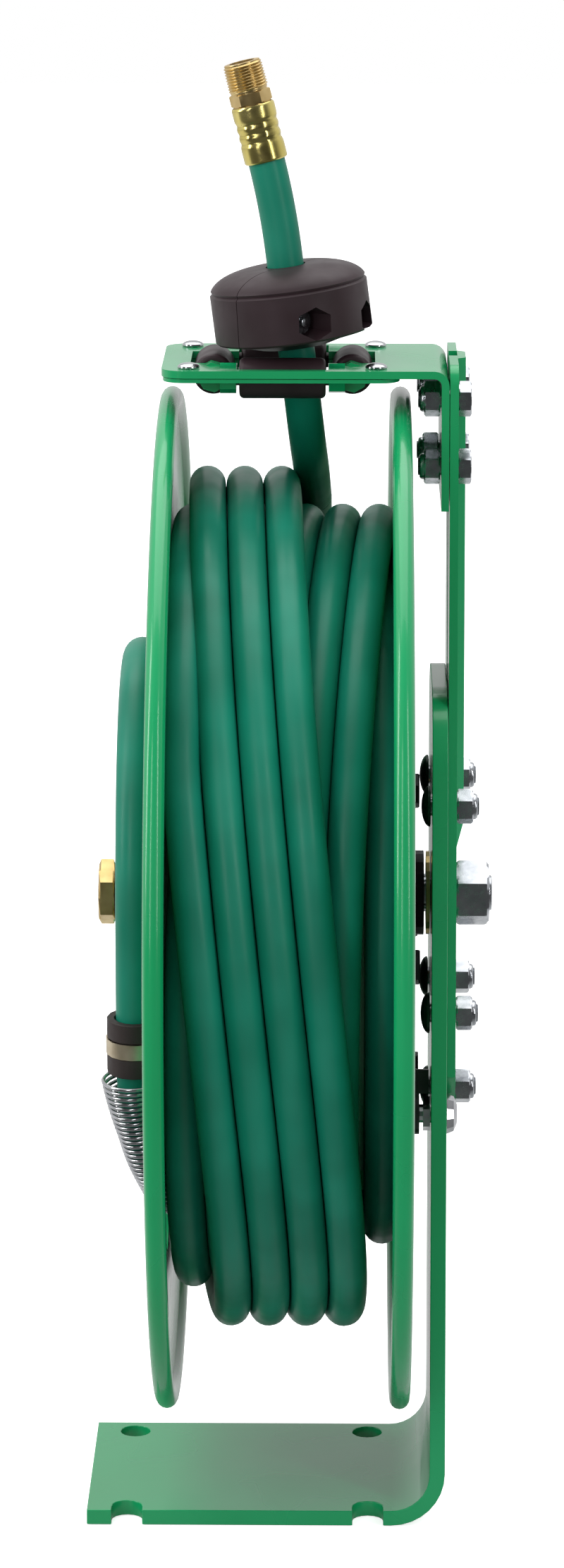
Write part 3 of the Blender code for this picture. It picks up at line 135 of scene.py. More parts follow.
# The feed line's route, as (y, level, x from the feed's plane)
FEED_X = LEFT_DISC - 0.0106
FEED_ROUTE = (
    (0.0090, 0.0250, 0.0), (0.0150, 0.0417, 0.0), (0.0180, 0.0620, 0.0), (0.0110, 0.0840, 0.0),
    (-0.0100, 0.1010, 0.0), (-0.0420, 0.1075, 0.0), (-0.0760, 0.1000, 0.0),
    (-0.1010, 0.0760, 0.0), (-0.1140, 0.0420, 0.0), (-0.1165, 0.0060, 0.0),
    (-0.1145, -0.0220, 0.0), (-0.1130, -0.0430, 0.0), (-0.1105, -0.0600, 0.0014),
    (-0.1056, -0.0767, 0.0050), (-0.0982, -0.0923, 0.0110), (-0.0892, -0.1043, 0.0170),
    (-0.0810, -0.1114, 0.0205), (-0.0682, -0.1181, 0.0207),
)
FEED_SPACING = 0.0040

# Hose run, from the winding up through the guide
HOSE_Y = -0.0050
HOSE_AT_GUIDE = GUIDE_X + 0.0065
RUN_BEND = 0.060
RUN_ARC_STEPS = 8
RUN_POWER = 1.3
RUN_SPACING = 0.008
RUN_FINE_SPACING = 0.0035
STOP_LEAN = 7.3
END_LEAN = 14.0
BEND_FOOT = ROLLER_LEVEL + 0.0497

# Coil guard
COIL_WIRE = 0.00078
COIL_SIDES = 8
COIL_PITCH = 0.00205
COIL_RADIUS = 0.0098
COIL_FLARE = 0.0034
FLARE_SHARE = 0.42
FLARE_POWER = 1.2
COIL_TOP = -0.0425
COIL_BACK = -0.09
COIL_PAST_WEB = 0.0030
COIL_TRACE = 0.0030
COIL_FINE = 0.0005
CURL_POINTS = 24

# Nuts, as shares: (of the height, of the size over corners), then (of the collar, of the size over flats)
NUT_CORNERS = ((0.07, 0.985), (0.12, 1.0), (0.86, 1.0), (0.93, 0.975))
NUT_COLLAR = ((0.0, 0.84), (0.45, 0.83), (0.8, 0.78), (1.0, 0.70))
NUT_SEAT = 1.02
NUT_FACE = 0.99

# Bolts, axle and rivets. Sizes across are diameters
BOLT_AF = 0.0127
BOLT_SHANK = 0.0077
BOLT_NUT = 0.0066
BOLT_COLLAR = 0.0017
BOLT_END = 0.0090
BOLT_RIDGE = 0.00033
BOLT_RIDGES = 2
BOLT_MOUTH = 0.0072
BOLT_CREST = 0.0076
BOLT_ROOT = 0.0068
BOLT_POINT = 0.0060
HEX_HEAD = 0.0052
DOME_HEAD = 0.0170
DOME_EDGE = 0.0168
DOME_FOOT = 0.0150
DOME_SEAT = 0.0001
DOME_LIP = 0.0003
DOME_RISE = 0.0036
DOME_STEPS = 6
DOME_SWEEP = 6.3
ARM_BOLT_Y = 0.0280
ARM_BOLT_LEVEL = 0.0436
TOE_BOLT_LEVEL = -0.0830
HEAD_BOLT_Y = 0.0200
HEAD_BOLT_LEVELS = (ROLLER_LEVEL - 0.0368, ROLLER_LEVEL - 0.0090)
AXLE = 0.0157
AXLE_START = LEFT_DISC - 0.0030
AXLE_CHAMFER = 0.0010
AXLE_NUT_AF = 0.0238
AXLE_NUT_THICK = 0.0139
AXLE_NUT_BORE = 0.0162
AXLE_THREAD_AT = 0.0742
AXLE_THREAD = 0.0187
AXLE_PITCH = 0.0016
AXLE_THREAD_DEPTH = 0.0006
AXLE_ROOT = 0.0140
AXLE_POINT_ACROSS = 0.0120
AXLE_POINT_LENGTH = 0.0002
AXLE_END = 0.0933
AXLE_NUT_STEPS = 96
RIVET_X = 0.0379
RIVET_Y = 0.0300
RIVET_SHANK = 0.0042
RIVET_HEAD = 0.0090
RIVET_EDGE = 0.0088
RIVET_RISE = 0.0018
RIVET_TAIL = 0.0070
RIVET_TAIL_END = 0.0050
RIVET_LENGTH = 0.0060
RIVET_TAIL_AT = 0.0053
RIVET_STEPS = 32
RIVET_DOME_STEPS = 5
RIVET_DOME_SWEEP = 5.4

# Ball stop. Radii, and heights from its foot. The screws' ends are (distance from the seat, diameter)
STOP_BASE = ROLLER_LEVEL + 0.0112
STOP_BORE = 0.00815
STOP_FOOT = 0.0160
STOP_FLARE = 0.0062
STOP_CHAMFER = 0.0047
STOP_BAND = 0.0190
STOP_RADIUS = 0.0322
STOP_HEIGHT = 0.0327
STOP_LIP = 0.0045
FLARE_HEIGHT = 0.4 * STOP_CHAMFER
LOWER_EDGE = 0.0008
SHOULDER_RISE = 0.0009
SHOULDER_INSET = 0.0010
STOP_DOME_STEPS = 14
STOP_STEPS = 96
STOP_SPLIT = 46.0
SCREW_SHARE = 0.42
SCREW_OFFSETS = (-0.0148, 0.0148)
SCREW_HOLE = 0.0024
SCREW_SHANK = 0.0040
SCREW_NUT_AF = 0.0095
SCREW_NUT = 0.0034
SCREW_HEAD = ((0.0036, 0.0052), (0.0034, 0.0074), (0.0, 0.0078))
SCREW_TIP = ((SCREW_NUT, SCREW_SHANK), (0.0050, 0.0038), (0.0052, 0.0030))
SCREW_STEPS = 48
POCKET_AF = 0.0118
POCKET_SEAT = 0.0170
TOOL_REACH = 0.05

# Ferrule and end fitting. Shares are of the ferrule's length
FERRULE_BASE = ROLLER_LEVEL + 0.0865
FERRULE_LENGTH = 0.0236
FERRULE_RADIUS = 0.0089
FERRULE_BORE = HOSE / 2 + 0.0005
FERRULE_STEPS = 64
FERRULE_RINGS = 72
GROOVES = (0.37, 0.53, 0.69)
GROOVE_SHARE = 0.042
GROOVE_DEPTH = 0.00042
CRIMP_MIDDLE = 0.53
CRIMP_SHARE = 0.22
CRIMP_DEPTH = 0.0001
FLAT_DEPTH = 0.00016
FLAT_TURN = 0.4
LOW_EDGE = 0.03
HIGH_EDGE = 0.05
EDGE_ROUND = 0.0005
FITTING_INSERT = 0.0020
FITTING_PLUG = 2 * FERRULE_BORE - 0.0006
FITTING_AF = 0.0148
FITTING_HEX = 0.0052
FITTING_NECK = 0.0149
NECK_LENGTH = 0.0006
FITTING_STEPS = 72
FITTING_BORE = 0.0052
END_THREAD = 0.0118
END_THREAD_AT = 0.0004
END_THREAD_ROOT = 0.0140
END_MOUTH = 0.0136
END_MARGIN = 0.0001
END_PER_TURN = 8
END_THREAD_OUT = 0.0166
END_PITCH = 0.00118
END_THREAD_DEPTH = 0.0007
END_TAPER = 0.030


# Shader nodes

def noise(tree, scale, detail):
    """Noise on the piece's own coordinates, in features a metre."""
    coord = tree.nodes.new("ShaderNodeTexCoord")
    found = tree.nodes.new("ShaderNodeTexNoise")
    found.inputs["Scale"].default_value = scale
    found.inputs["Detail"].default_value = detail
    tree.links.new(coord.outputs["Object"], found.inputs["Vector"])
    return found.outputs["Fac"]


NOISE_SPAN = (0.3, 0.7)


def ramp(tree, source, low, high):
    """Noise turned into a colour between two."""
    found = tree.nodes.new("ShaderNodeValToRGB")
    for element, place, colour in zip(found.color_ramp.elements, NOISE_SPAN, (low, high)):
        element.position = place
        element.color = (*colour, 1.0)
    tree.links.new(source, found.inputs["Fac"])
    return found.outputs["Color"]


def spread(tree, source, low, high, span=NOISE_SPAN, smooth=False):
    """A value within the span turned into one between low and high."""
    found = tree.nodes.new("ShaderNodeMapRange")
    if smooth:
        found.interpolation_type = "SMOOTHSTEP"
    found.inputs["From Min"].default_value = span[0]
    found.inputs["From Max"].default_value = span[1]
    found.inputs["To Min"].default_value = low
    found.inputs["To Max"].default_value = high
    tree.links.new(source, found.inputs["Value"])
    return found.outputs["Result"]


def joined(tree, value, socket):
    """Gives a socket its value, which is a number or another node's output."""
    if isinstance(value, float):
        socket.default_value = value
    else:
        tree.links.new(value, socket)


def either(tree, factor, off, on):
    """The first value where the factor is 0, and the second where it is 1."""
    found = tree.nodes.new("ShaderNodeMix")
    found.data_type = "FLOAT"
    tree.links.new(factor, found.inputs[0])
    joined(tree, off, found.inputs[2])
    joined(tree, on, found.inputs[3])
    return found.outputs[0]


def math_node(tree, operation, first, second):
    found = tree.nodes.new("ShaderNodeMath")
    found.operation = operation
    joined(tree, first, found.inputs[0])
    joined(tree, second, found.inputs[1])
    return found.outputs[0]


def facing(tree, source, way):
    """How far a direction points this way, from -1 to 1."""
    found = tree.nodes.new("ShaderNodeVectorMath")
    found.operation = "DOT_PRODUCT"
    found.inputs[1].default_value = Vector(way).normalized()
    tree.links.new(source, found.inputs[0])
    return found.outputs["Value"]


# Materials

TONE_DETAIL = 2.0
RELIEF_DETAIL = 0.0
ROUGH_SCALE = 2.3


def surface(name, low, high, rough, tint, grain, bump, depth, metallic=0.0, **sockets):
    """A surface that varies between two colours and two roughnesses, with a fine relief."""
    mat = bpy.data.materials.new(name)
    mat.use_nodes = True
    tree = mat.node_tree
    shader = tree.nodes["Principled BSDF"]
    shader.inputs["Metallic"].default_value = metallic
    for key, value in sockets.items():
        shader.inputs[key.replace("_", " ")].default_value = value
    colour = ramp(tree, noise(tree, tint, TONE_DETAIL), low, high)
    tree.links.new(colour, shader.inputs["Base Color"])
    roughness = spread(tree, noise(tree, tint * ROUGH_SCALE, TONE_DETAIL), *rough)
    tree.links.new(roughness, shader.inputs["Roughness"])
    relief = tree.nodes.new("ShaderNodeBump")
    relief.inputs["Strength"].default_value = bump
    relief.inputs["Distance"].default_value = depth
    tree.links.new(noise(tree, grain, RELIEF_DETAIL), relief.inputs["Height"])
    tree.links.new(relief.outputs["Normal"], shader.inputs["Normal"])
    return mat


GREEN = surface("powder_coat", (0.004, 0.300, 0.098), (0.007, 0.355, 0.126), (0.22, 0.30), tint=9.0,
                grain=300.0, bump=0.02, depth=0.00012, Coat_Weight=0.40, Coat_Roughness=0.08)
HOSE_GREEN = surface("hose_rubber", (0.0030, 0.170, 0.105), (0.0065, 0.235, 0.152), (0.34, 0.46),
                     tint=26.0, grain=1500.0, bump=0.10, depth=0.00008, Specular_IOR_Level=0.32)
BLACK_PLASTIC = surface("moulded_plastic", (0.024, 0.012, 0.015), (0.038, 0.022, 0.027), (0.38, 0.52),
                        tint=40.0, grain=2600.0, bump=0.20, depth=0.00006, Specular_IOR_Level=0.34)
BLACK_RUBBER = surface("clamp_rubber", (0.018, 0.011, 0.011), (0.032, 0.021, 0.020), (0.50, 0.66),
                       tint=60.0, grain=1800.0, bump=0.30, depth=0.00008)
ZINC = surface("zinc_plate", (0.38, 0.40, 0.43), (0.55, 0.57, 0.60), (0.16, 0.30), tint=150.0,
               grain=2200.0, bump=0.12, depth=0.00005, metallic=1.0)
STEEL = surface("spring_steel", (0.42, 0.43, 0.45), (0.60, 0.61, 0.63), (0.14, 0.24), tint=120.0,
                grain=3000.0, bump=0.08, depth=0.00004, metallic=1.0)
DARK_STEEL = surface("black_steel", (0.012, 0.014, 0.014), (0.040, 0.043, 0.042), (0.34, 0.50), tint=70.0,
                     grain=1400.0, bump=0.22, depth=0.00007, metallic=0.4)
DARK_GREEN = surface("painted_head", (0.004, 0.030, 0.016), (0.010, 0.060, 0.032), (0.26, 0.40), tint=80.0,
                     grain=900.0, bump=0.20, depth=0.00008)
BRASS = surface("machined_brass", (0.54, 0.38, 0.15), (0.74, 0.56, 0.26), (0.28, 0.40), tint=110.0,
                grain=1700.0, bump=0.10, depth=0.00005, metallic=1.0)
FERRULE = surface("crimped_brass", (0.64, 0.53, 0.15), (0.84, 0.72, 0.27), (0.16, 0.28), tint=90.0,
                  grain=1300.0, bump=0.12, depth=0.00006, metallic=1.0)
STRAP = surface("yellow_zinc", (0.50, 0.42, 0.29), (0.70, 0.61, 0.46), (0.28, 0.42), tint=120.0,
                grain=1600.0, bump=0.15, depth=0.00005, metallic=0.85)


# Shapes

def made(name, verts, faces, sharp=SHARP):
    mesh = bpy.data.meshes.new(name)
    mesh.from_pydata([tuple(v) for v in verts], [], faces)
    bm = bmesh.new()
    bm.from_mesh(mesh)
    bmesh.ops.recalc_face_normals(bm, faces=bm.faces)
    bm.to_mesh(mesh)
    bm.free()
    mesh.shade_smooth()
    mesh.set_sharp_from_angle(angle=math.radians(sharp))
    obj = bpy.data.objects.new(name, mesh)
    bpy.context.scene.collection.objects.link(obj)
    return obj


def rows_to_piece(name, rows, closed, sharp=SHARP):
    """Skins rings of points. A closed one joins its last ring to its first, an open one is capped."""
    count = len(rows[0])
    verts = [v for row in rows for v in row]
    faces = []
    last = len(rows) if closed else len(rows) - 1
    for r in range(last):
        a = r * count
        b = ((r + 1) % len(rows)) * count
        for i in range(count):
            j = (i + 1) % count
            faces.append((a + i, a + j, b + j, b + i))
    if not closed:
        faces.append(tuple(range(count)))
        faces.append(tuple(range(len(verts) - count, len(verts))))
    return made(name, verts, faces, sharp)


def ring(x, diameter, steps=36):
    """A circle of points about X."""
    angles = [2 * math.pi * i / steps for i in range(steps)]
    return [(x, diameter / 2 * math.cos(a), diameter / 2 * math.sin(a)) for a in angles]


def lathe(name, profile, steps, closed=True):
    """Turned about X from (x, radius) points."""
    return rows_to_piece(name, [ring(x, 2 * r, steps) for x, r in profile], closed)


def hex_radius(across_flats, angle):
    return across_flats / 2 / math.cos((angle + math.pi / 6) % (math.pi / 3) - math.pi / 6)


def turned(name, sections, steps=72):
    """A capped solid along X from (x, kind, size) sections.

    A fourth number is the diameter at which a hexagon's corners stop.
    """
    rows = []
    for section in sections:
        x, kind, size = section[:3]
        limit = section[3] / 2 if len(section) > 3 else math.inf
        row = []
        for i in range(steps):
            a = 2 * math.pi * i / steps + math.pi / 6
            radius = min(hex_radius(size, a), limit) if kind == "hex" else size / 2
            row.append((x, radius * math.cos(a), radius * math.sin(a)))
        rows.append(row)
    return rows_to_piece(name, rows, False, NUT_SHARP)


def thread(x0, length, outer, pitch, depth, taper=0.0, steps=36, per_turn=6):
    """Rings of a helical thread along X. The taper is what the radius loses in each metre."""
    angles = [2 * math.pi * i / steps for i in range(steps)]
    count = int(length / pitch * per_turn)
    rows = []
    for i in range(count + 1):
        at = i / count * length
        ends = min(1.0, at / pitch, (length - at) / pitch)
        row = []
        for a in angles:
            phase = (at / pitch - a / (2 * math.pi)) % 1.0
            ridge = 1 - abs(2 * phase - 1)
            radius = outer / 2 - taper * at - depth * (1 - ridge * max(ends, 0.0))
            row.append((x0 + at, radius * math.cos(a), radius * math.sin(a)))
        rows.append(row)
    return rows


def tube(name, points, radius, sides):
    """A round tube through close points, with no twist."""
    at = np.array([tuple(p) for p in points])
    along = np.gradient(at, axis=0)
    along /= np.linalg.norm(along, axis=1)[:, None]
    off_axis = (0.3, 0.5, 0.81)
    side = np.cross(along[0], off_axis)
    side /= np.linalg.norm(side)
    angles = np.arange(sides) * 2 * math.pi / sides
    rows = []
    for place, way in zip(at, along):
        side = side - way * side.dot(way)
        side /= np.linalg.norm(side)
        other = np.cross(way, side)
        rows.append([tuple(place + radius * (math.cos(a) * side + math.sin(a) * other)) for a in angles])
    return rows_to_piece(name, rows, False, TUBE_SHARP)


def smooth_route(points, spacing, span_steps=24):
    """Points at even spacing on the smooth curve through the given ones."""
    points = [Vector(p) for p in points]
    ends = [points[0] * 2 - points[1], *points, points[-1] * 2 - points[-2]]
    fine = []
    for p0, p1, p2, p3 in zip(ends, ends[1:], ends[2:], ends[3:]):
        for i in range(span_steps):
            t = i / span_steps
            fine.append(0.5 * (
                2 * p1 + (p2 - p0) * t + (2 * p0 - 5 * p1 + 4 * p2 - p3) * t * t
                + (3 * p1 - p0 - 3 * p2 + p3) * t * t * t
            ))
    fine.append(points[-1])
    lengths = [0.0]
    for a, b in zip(fine, fine[1:]):
        lengths.append(lengths[-1] + (b - a).length)
    count = max(2, round(lengths[-1] / spacing))
    found = []
    at = 0
    for i in range(count + 1):
        goal = lengths[-1] * i / count
        while at < len(fine) - 2 and lengths[at + 1] < goal:
            at += 1
        part = (goal - lengths[at]) / (lengths[at + 1] - lengths[at])
        found.append(fine[at].lerp(fine[at + 1], part))
    return found


def frame_along(point, direction):
    """A place whose X runs in the given direction."""
    turn = Vector((1, 0, 0)).rotation_difference(Vector(direction).normalized())
    return Matrix.Translation(Vector(point)) @ turn.to_matrix().to_4x4()


def placed(obj, matrix):
    obj.data.transform(matrix)
    return obj


def piece(obj, mat, body, *nodes, slot):
    """Gives a finished piece its material and its body, and hides the solids that it stands for. The slot is not
    used.
    """
    obj.data.materials.clear()
    obj.data.materials.append(mat)
    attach(obj, body)
    if nodes:
        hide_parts(*nodes)


def applied(obj):
    """Turns an object with modifiers into a plain mesh."""
    bpy.context.view_layer.update()
    graph = bpy.context.evaluated_depsgraph_get()
    mesh = bpy.data.meshes.new_from_object(obj.evaluated_get(graph))
    obj.modifiers.clear()
    obj.data = mesh
    return obj


def boolean(obj, tool, operation="DIFFERENCE"):
    """Cuts the tool out of obj, or joins it on, and removes the tool."""
    modifier = obj.modifiers.new("cut", "BOOLEAN")
    modifier.operation = operation
    modifier.object = tool
    applied(obj)
    bpy.data.objects.remove(tool)
    return obj


def box(x0, x1, y0, y1, z0, z1):
    corners = [(x, y, z) for x in (x0, x1) for y in (y0, y1) for z in (z0, z1)]
    faces = [(0, 1, 3, 2), (4, 6, 7, 5), (0, 4, 5, 1), (2, 3, 7, 6), (0, 2, 6, 4), (1, 5, 7, 3)]
    return made("tool", corners, faces)


def pin(start, direction, length, radius, steps):
    rows = [ring(x, 2 * radius, steps) for x in (0.0, length)]
    return placed(rows_to_piece("tool", rows, False), frame_along(start, direction))


def softened(node, mat, width, slot):
    """A copy of a solid with its edges rounded over, as the coat or the press leaves them."""
    source = frame["nodes"][node]
    bm = bmesh.new()
    bm.from_mesh(source.data)
    bmesh.ops.remove_doubles(bm, verts=bm.verts, dist=0.00001)
    bmesh.ops.dissolve_limit(bm, angle_limit=math.radians(0.5), verts=bm.verts, edges=bm.edges)
    mesh = bpy.data.meshes.new(node + "_piece")
    bm.to_mesh(mesh)
    bm.free()
    mesh.shade_smooth()
    obj = bpy.data.objects.new(node + "_piece", mesh)
    bpy.context.scene.collection.objects.link(obj)
    edge = obj.modifiers.new("edge", "BEVEL")
    edge.width = width
    edge.segments = 3
    edge.limit_method = "ANGLE"
    edge.angle_limit = math.radians(32.0)
    level = obj.modifiers.new("level", "WEIGHTED_NORMAL")
    level.mode = "FACE_AREA"
    level.weight = 100
    level.keep_sharp = True
    piece(applied(obj), mat, source["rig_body"], node, slot=slot)


# Hose

def on_wheel(psi, radius, x):
    """The point at this angle past the top, on a wheel about the axle."""
    a = math.radians(psi)
    return Vector((x, -radius * math.sin(a), AXLE_Z + radius * math.cos(a)))


def sway(turn, waves):
    """How far the turns lean along the axle at this angle, 0 at the top, from waves in millimetres."""
    a = 2 * math.pi * turn
    found = 0.0
    for k, (even, odd) in enumerate(waves, 1):
        found += even * (1 - math.cos(k * a)) + odd * math.sin(k * a)
    return found / 1000


def eased(value):
    part = min(1.0, max(0.0, value))
    return part * part * (3 - 2 * part)


def winding_place(turn):
    """(x, radius) of the hose at this turn: to the left in the lower layer, then back in the outer."""
    if turn <= LAYER_END:
        x = LOWER_START - LOWER_PITCH * turn + sway(turn, LOWER_SWAY)
    else:
        x = OUTER_START + OUTER_PITCH * (turn - LAYER_END) + sway(turn, OUTER_SWAY)
    climb = eased((turn - LAYER_END + CLIMB_LEAD) / CLIMB_TURNS)
    return max(x, LEFT_TURN), LOWER_TURN + (OUTER_TURN - LOWER_TURN) * climb


def feed_points():
    return [(FEED_X + x, y, AXLE_Z + z) for y, z, x in FEED_ROUTE]


def spool_hose_route():
    """The whole hose on the spool: elbow, loop, slot, then three layers of turns."""
    route = smooth_route(feed_points(), FEED_SPACING)
    start_x = route[-1].x
    first = INNER_LEAVE / 360 - INNER_TURNS
    end_x, _ = winding_place(first)
    psi = INNER_ENTER + ENTRY_STEP
    while psi < INNER_LEAVE:
        part = min(1.0, (psi - INNER_ENTER) / (INNER_SETTLED - INNER_ENTER))
        radius = ENTRY_TURN + (INNER_TURN - ENTRY_TURN) * min(1.0, (psi - INNER_ENTER) / ENTRY_EASE)
        radius += (LOWER_TURN - INNER_TURN) * eased((psi - INNER_LEAVE + LEAVE_EASE) / LEAVE_EASE)
        route.append(on_wheel(psi, radius, start_x + (end_x - start_x) * part))
        psi += INNER_STEP
    steps = round((LAST_TURN - first) * POINTS_PER_TURN)
    for i in range(steps + 1):
        turn = first + (LAST_TURN - first) * i / steps
        x, radius = winding_place(turn)
        route.append(on_wheel(turn * 360, radius, x))
    a = 2 * math.pi * LAST_TURN
    way = Vector((0, -math.cos(a), -math.sin(a)))
    for _ in range(2):
        route.append(route[-1] + way * HOSE / 2)
    return route, way


def run_x(level):
    """Where the hose run stands along the axle: a sweep to the guide, then two leans with a bend between."""
    lean_low = math.tan(math.radians(STOP_LEAN))
    lean_high = math.tan(math.radians(END_LEAN))
    bend = FERRULE_BASE - BEND_FOOT
    if level < ROLLER_LEVEL:
        part = (level - run_start.z) / (ROLLER_LEVEL - run_start.z)
        return run_start.x + (HOSE_AT_GUIDE - run_start.x) * max(part, 0.0) ** RUN_POWER
    x = HOSE_AT_GUIDE - (level - ROLLER_LEVEL) * lean_low
    bent = max(0.0, min(level, FERRULE_BASE) - BEND_FOOT) / bend
    x -= (lean_high - lean_low) * bend * bent * bent / 2
    return x - max(0.0, level - FERRULE_BASE) * (lean_high - lean_low)


def run_route(way):
    """From the winding, round under the rear roller and up through the ball stop."""
    flat = Vector((way.y, way.z))
    rise = Vector((-flat.y, flat.x))
    if rise.x < 0:
        rise = -rise
    base = Vector((run_start.y, run_start.z))
    reach = (HOSE_Y + RUN_BEND - base.x - RUN_BEND * rise.x) / flat.x
    centre = base + flat * reach + rise * RUN_BEND
    points = [base, base + flat * reach * 0.5]
    first = math.degrees(math.atan2(-rise.y, -rise.x)) % 360
    for i in range(RUN_ARC_STEPS + 1):
        a = math.radians(first + (180 - first) * i / RUN_ARC_STEPS)
        points.append(centre + Vector((math.cos(a), math.sin(a))) * RUN_BEND)
    low = centre.y
    high = FERRULE_BASE + (FERRULE_LENGTH - FITTING_INSERT - 2 * GAP) * math.cos(math.radians(END_LEAN))
    count = math.ceil((high - low) / RUN_SPACING)
    points += [Vector((HOSE_Y, low + (high - low) * i / count)) for i in range(1, count + 1)]
    return [Vector((run_x(p.y), p.x, AXLE_Z + p.y)) for p in points]


spool_route, out_way = spool_hose_route()
piece(tube("hose_on_spool", spool_route, HOSE / 2, HOSE_SIDES), HOSE_GREEN, "spool",
      "feed_hose", "hose_core", "hose_winding", slot="hose_green")
run_start = spool_route[-1] - AXLE_POINT + out_way * GAP
run_points = smooth_route(run_route(out_way), RUN_FINE_SPACING)
piece(tube("hose_run_piece", run_points, HOSE / 2, HOSE_SIDES), HOSE_GREEN, "frame",
      "hose_run", slot="hose_green")


# Discs

def disc_profile(centre):
    """A sheet with its rim rolled into a bead."""
    bead = RIM_BEAD / 2
    half = DISC_SHEET / 2
    rim = DISC_RADIUS - bead
    opening = math.asin(half / bead)
    profile = [(centre - half, DISC_BORE)]
    for i in range(RIM_STEPS + 1):
        a = opening + (2 * math.pi - 2 * opening) * i / RIM_STEPS
        profile.append((centre - bead * math.sin(a), rim - bead * math.cos(a)))
    profile.append((centre + half, DISC_BORE))
    return profile


def slot_tool():
    """The round-ended slot through which the feed line enters the left disc."""
    way = SLOT_FOOT - SLOT_TOP
    first = math.degrees(math.atan2(way.y, way.x))
    outline = []
    for centre, start in ((SLOT_FOOT, first - 90), (SLOT_TOP, first + 90)):
        for i in range(SLOT_STEPS + 1):
            a = math.radians(start + 180 * i / SLOT_STEPS)
            outline.append((centre.x + SLOT_HALF * math.cos(a), AXLE_Z + centre.y + SLOT_HALF * math.sin(a)))
    rows = [[(x, y, z) for y, z in outline] for x in (LEFT_DISC - SLOT_REACH, LEFT_DISC + SLOT_REACH)]
    return rows_to_piece("tool", rows, False)


lift = Matrix.Translation(AXLE_POINT)
disc = placed(lathe("right_disc_piece", disc_profile(RIGHT_DISC), DISC_STEPS), lift)
piece(disc, GREEN, "spool", "right_disc", slot="powder_green")
disc = placed(lathe("left_disc_piece", disc_profile(LEFT_DISC), DISC_STEPS), lift)
boolean(disc, slot_tool())
disc.data.set_sharp_from_angle(angle=math.radians(SHARP))
piece(disc, GREEN, "spool", "left_disc", slot="powder_green")


# Coil guard

def coil_route():
    """Close curls along the feed line from a flared mouth under the clamp to just inside the disc."""
    route = [p - AXLE_POINT for p in smooth_route(feed_points(), COIL_TRACE)]
    near = [i for i, p in enumerate(route)
            if p.z < COIL_TOP and p.y < COIL_BACK and p.x < LEFT_WEB + COIL_PAST_WEB]
    spine = smooth_route(route[near[0]:near[-1] + 1], COIL_FINE)
    length = sum((b - a).length for a, b in zip(spine, spine[1:]))
    count = int(length / COIL_PITCH) * CURL_POINTS
    across = Vector((0, 1, 0))
    points = []
    for i in range(count + 1):
        part = i / count
        at = part * (len(spine) - 1)
        low = min(int(at), len(spine) - 2)
        centre = spine[low].lerp(spine[low + 1], at - low)
        way = (spine[low + 1] - spine[low]).normalized()
        side = (across - way * across.dot(way)).normalized()
        other = way.cross(side)
        radius = COIL_RADIUS + COIL_FLARE * max(0.0, 1 - part / FLARE_SHARE) ** FLARE_POWER
        a = 2 * math.pi * i / CURL_POINTS
        points.append(centre + (side * math.cos(a) + other * math.sin(a)) * radius + AXLE_POINT)
    return points


piece(tube("coil_guard", coil_route(), COIL_WIRE, COIL_SIDES), STEEL, "spool", "bend_coil", slot="bright_steel")


# Fasteners

def nut_sections(x, way, af, thick, collar=0.0):
    """A hexagon with turned corners from the seat at x, and a rounded locking collar."""
    corner = af / math.cos(math.pi / 6)
    found = [(x, "hex", af, af * NUT_SEAT)]
    found += [(x + way * thick * part, "hex", af, corner * size) for part, size in NUT_CORNERS]
    found.append((x + way * thick, "hex", af, af * NUT_FACE))
    if collar:
        found += [(x + way * (thick + collar * part), "round", af * size) for part, size in NUT_COLLAR]
    return found


def domed(face, way, lip, rise, diameter, steps, sweep):
    """Sections of a round head above its lip. The sweep is the steps that would close it."""
    found = []
    for i in range(1, steps + 1):
        a = math.radians(90 * i / sweep)
        found.append((face + way * (lip + rise * math.sin(a)), "round", diameter * math.cos(a)))
    return found


def lock_nut_bolt(name, y, level, head_face, nut_face, dome):
    """A bolt along X with its locking nut. A domed head is painted and a hexagon head is plated."""
    way = 1.0 if nut_face > head_face else -1.0
    shank = [(head_face, "round", BOLT_SHANK), (nut_face, "round", BOLT_SHANK)]
    sections = nut_sections(nut_face, way, BOLT_AF, BOLT_NUT, BOLT_COLLAR)
    top = nut_face + way * (BOLT_NUT + BOLT_COLLAR)
    sections.append((top, "round", BOLT_MOUTH))
    for i in range(BOLT_RIDGES):
        at = top + way * i * BOLT_RIDGE
        sections.append((at + way * BOLT_RIDGE / 2, "round", BOLT_CREST))
        sections.append((at + way * BOLT_RIDGE, "round", BOLT_ROOT))
    sections.append((nut_face + way * BOLT_END, "round", BOLT_POINT))
    place = Matrix.Translation((0, y, AXLE_Z + level))
    piece(placed(turned(name + "_nut", shank + sections), place), ZINC, "frame", name, slot="zinc_steel")
    if dome:
        head = [(head_face - way * DOME_SEAT, "round", DOME_FOOT),
                (head_face - way * DOME_LIP, "round", DOME_EDGE)]
        head += domed(head_face, -way, DOME_LIP, DOME_RISE, DOME_HEAD, DOME_STEPS, DOME_SWEEP)
        piece(placed(turned(name + "_head", head), place), DARK_GREEN, "frame", slot="black_steel")
    else:
        head = nut_sections(head_face, -way, BOLT_AF, HEX_HEAD)
        piece(placed(turned(name + "_head", head), place), ZINC, "frame", slot="zinc_steel")


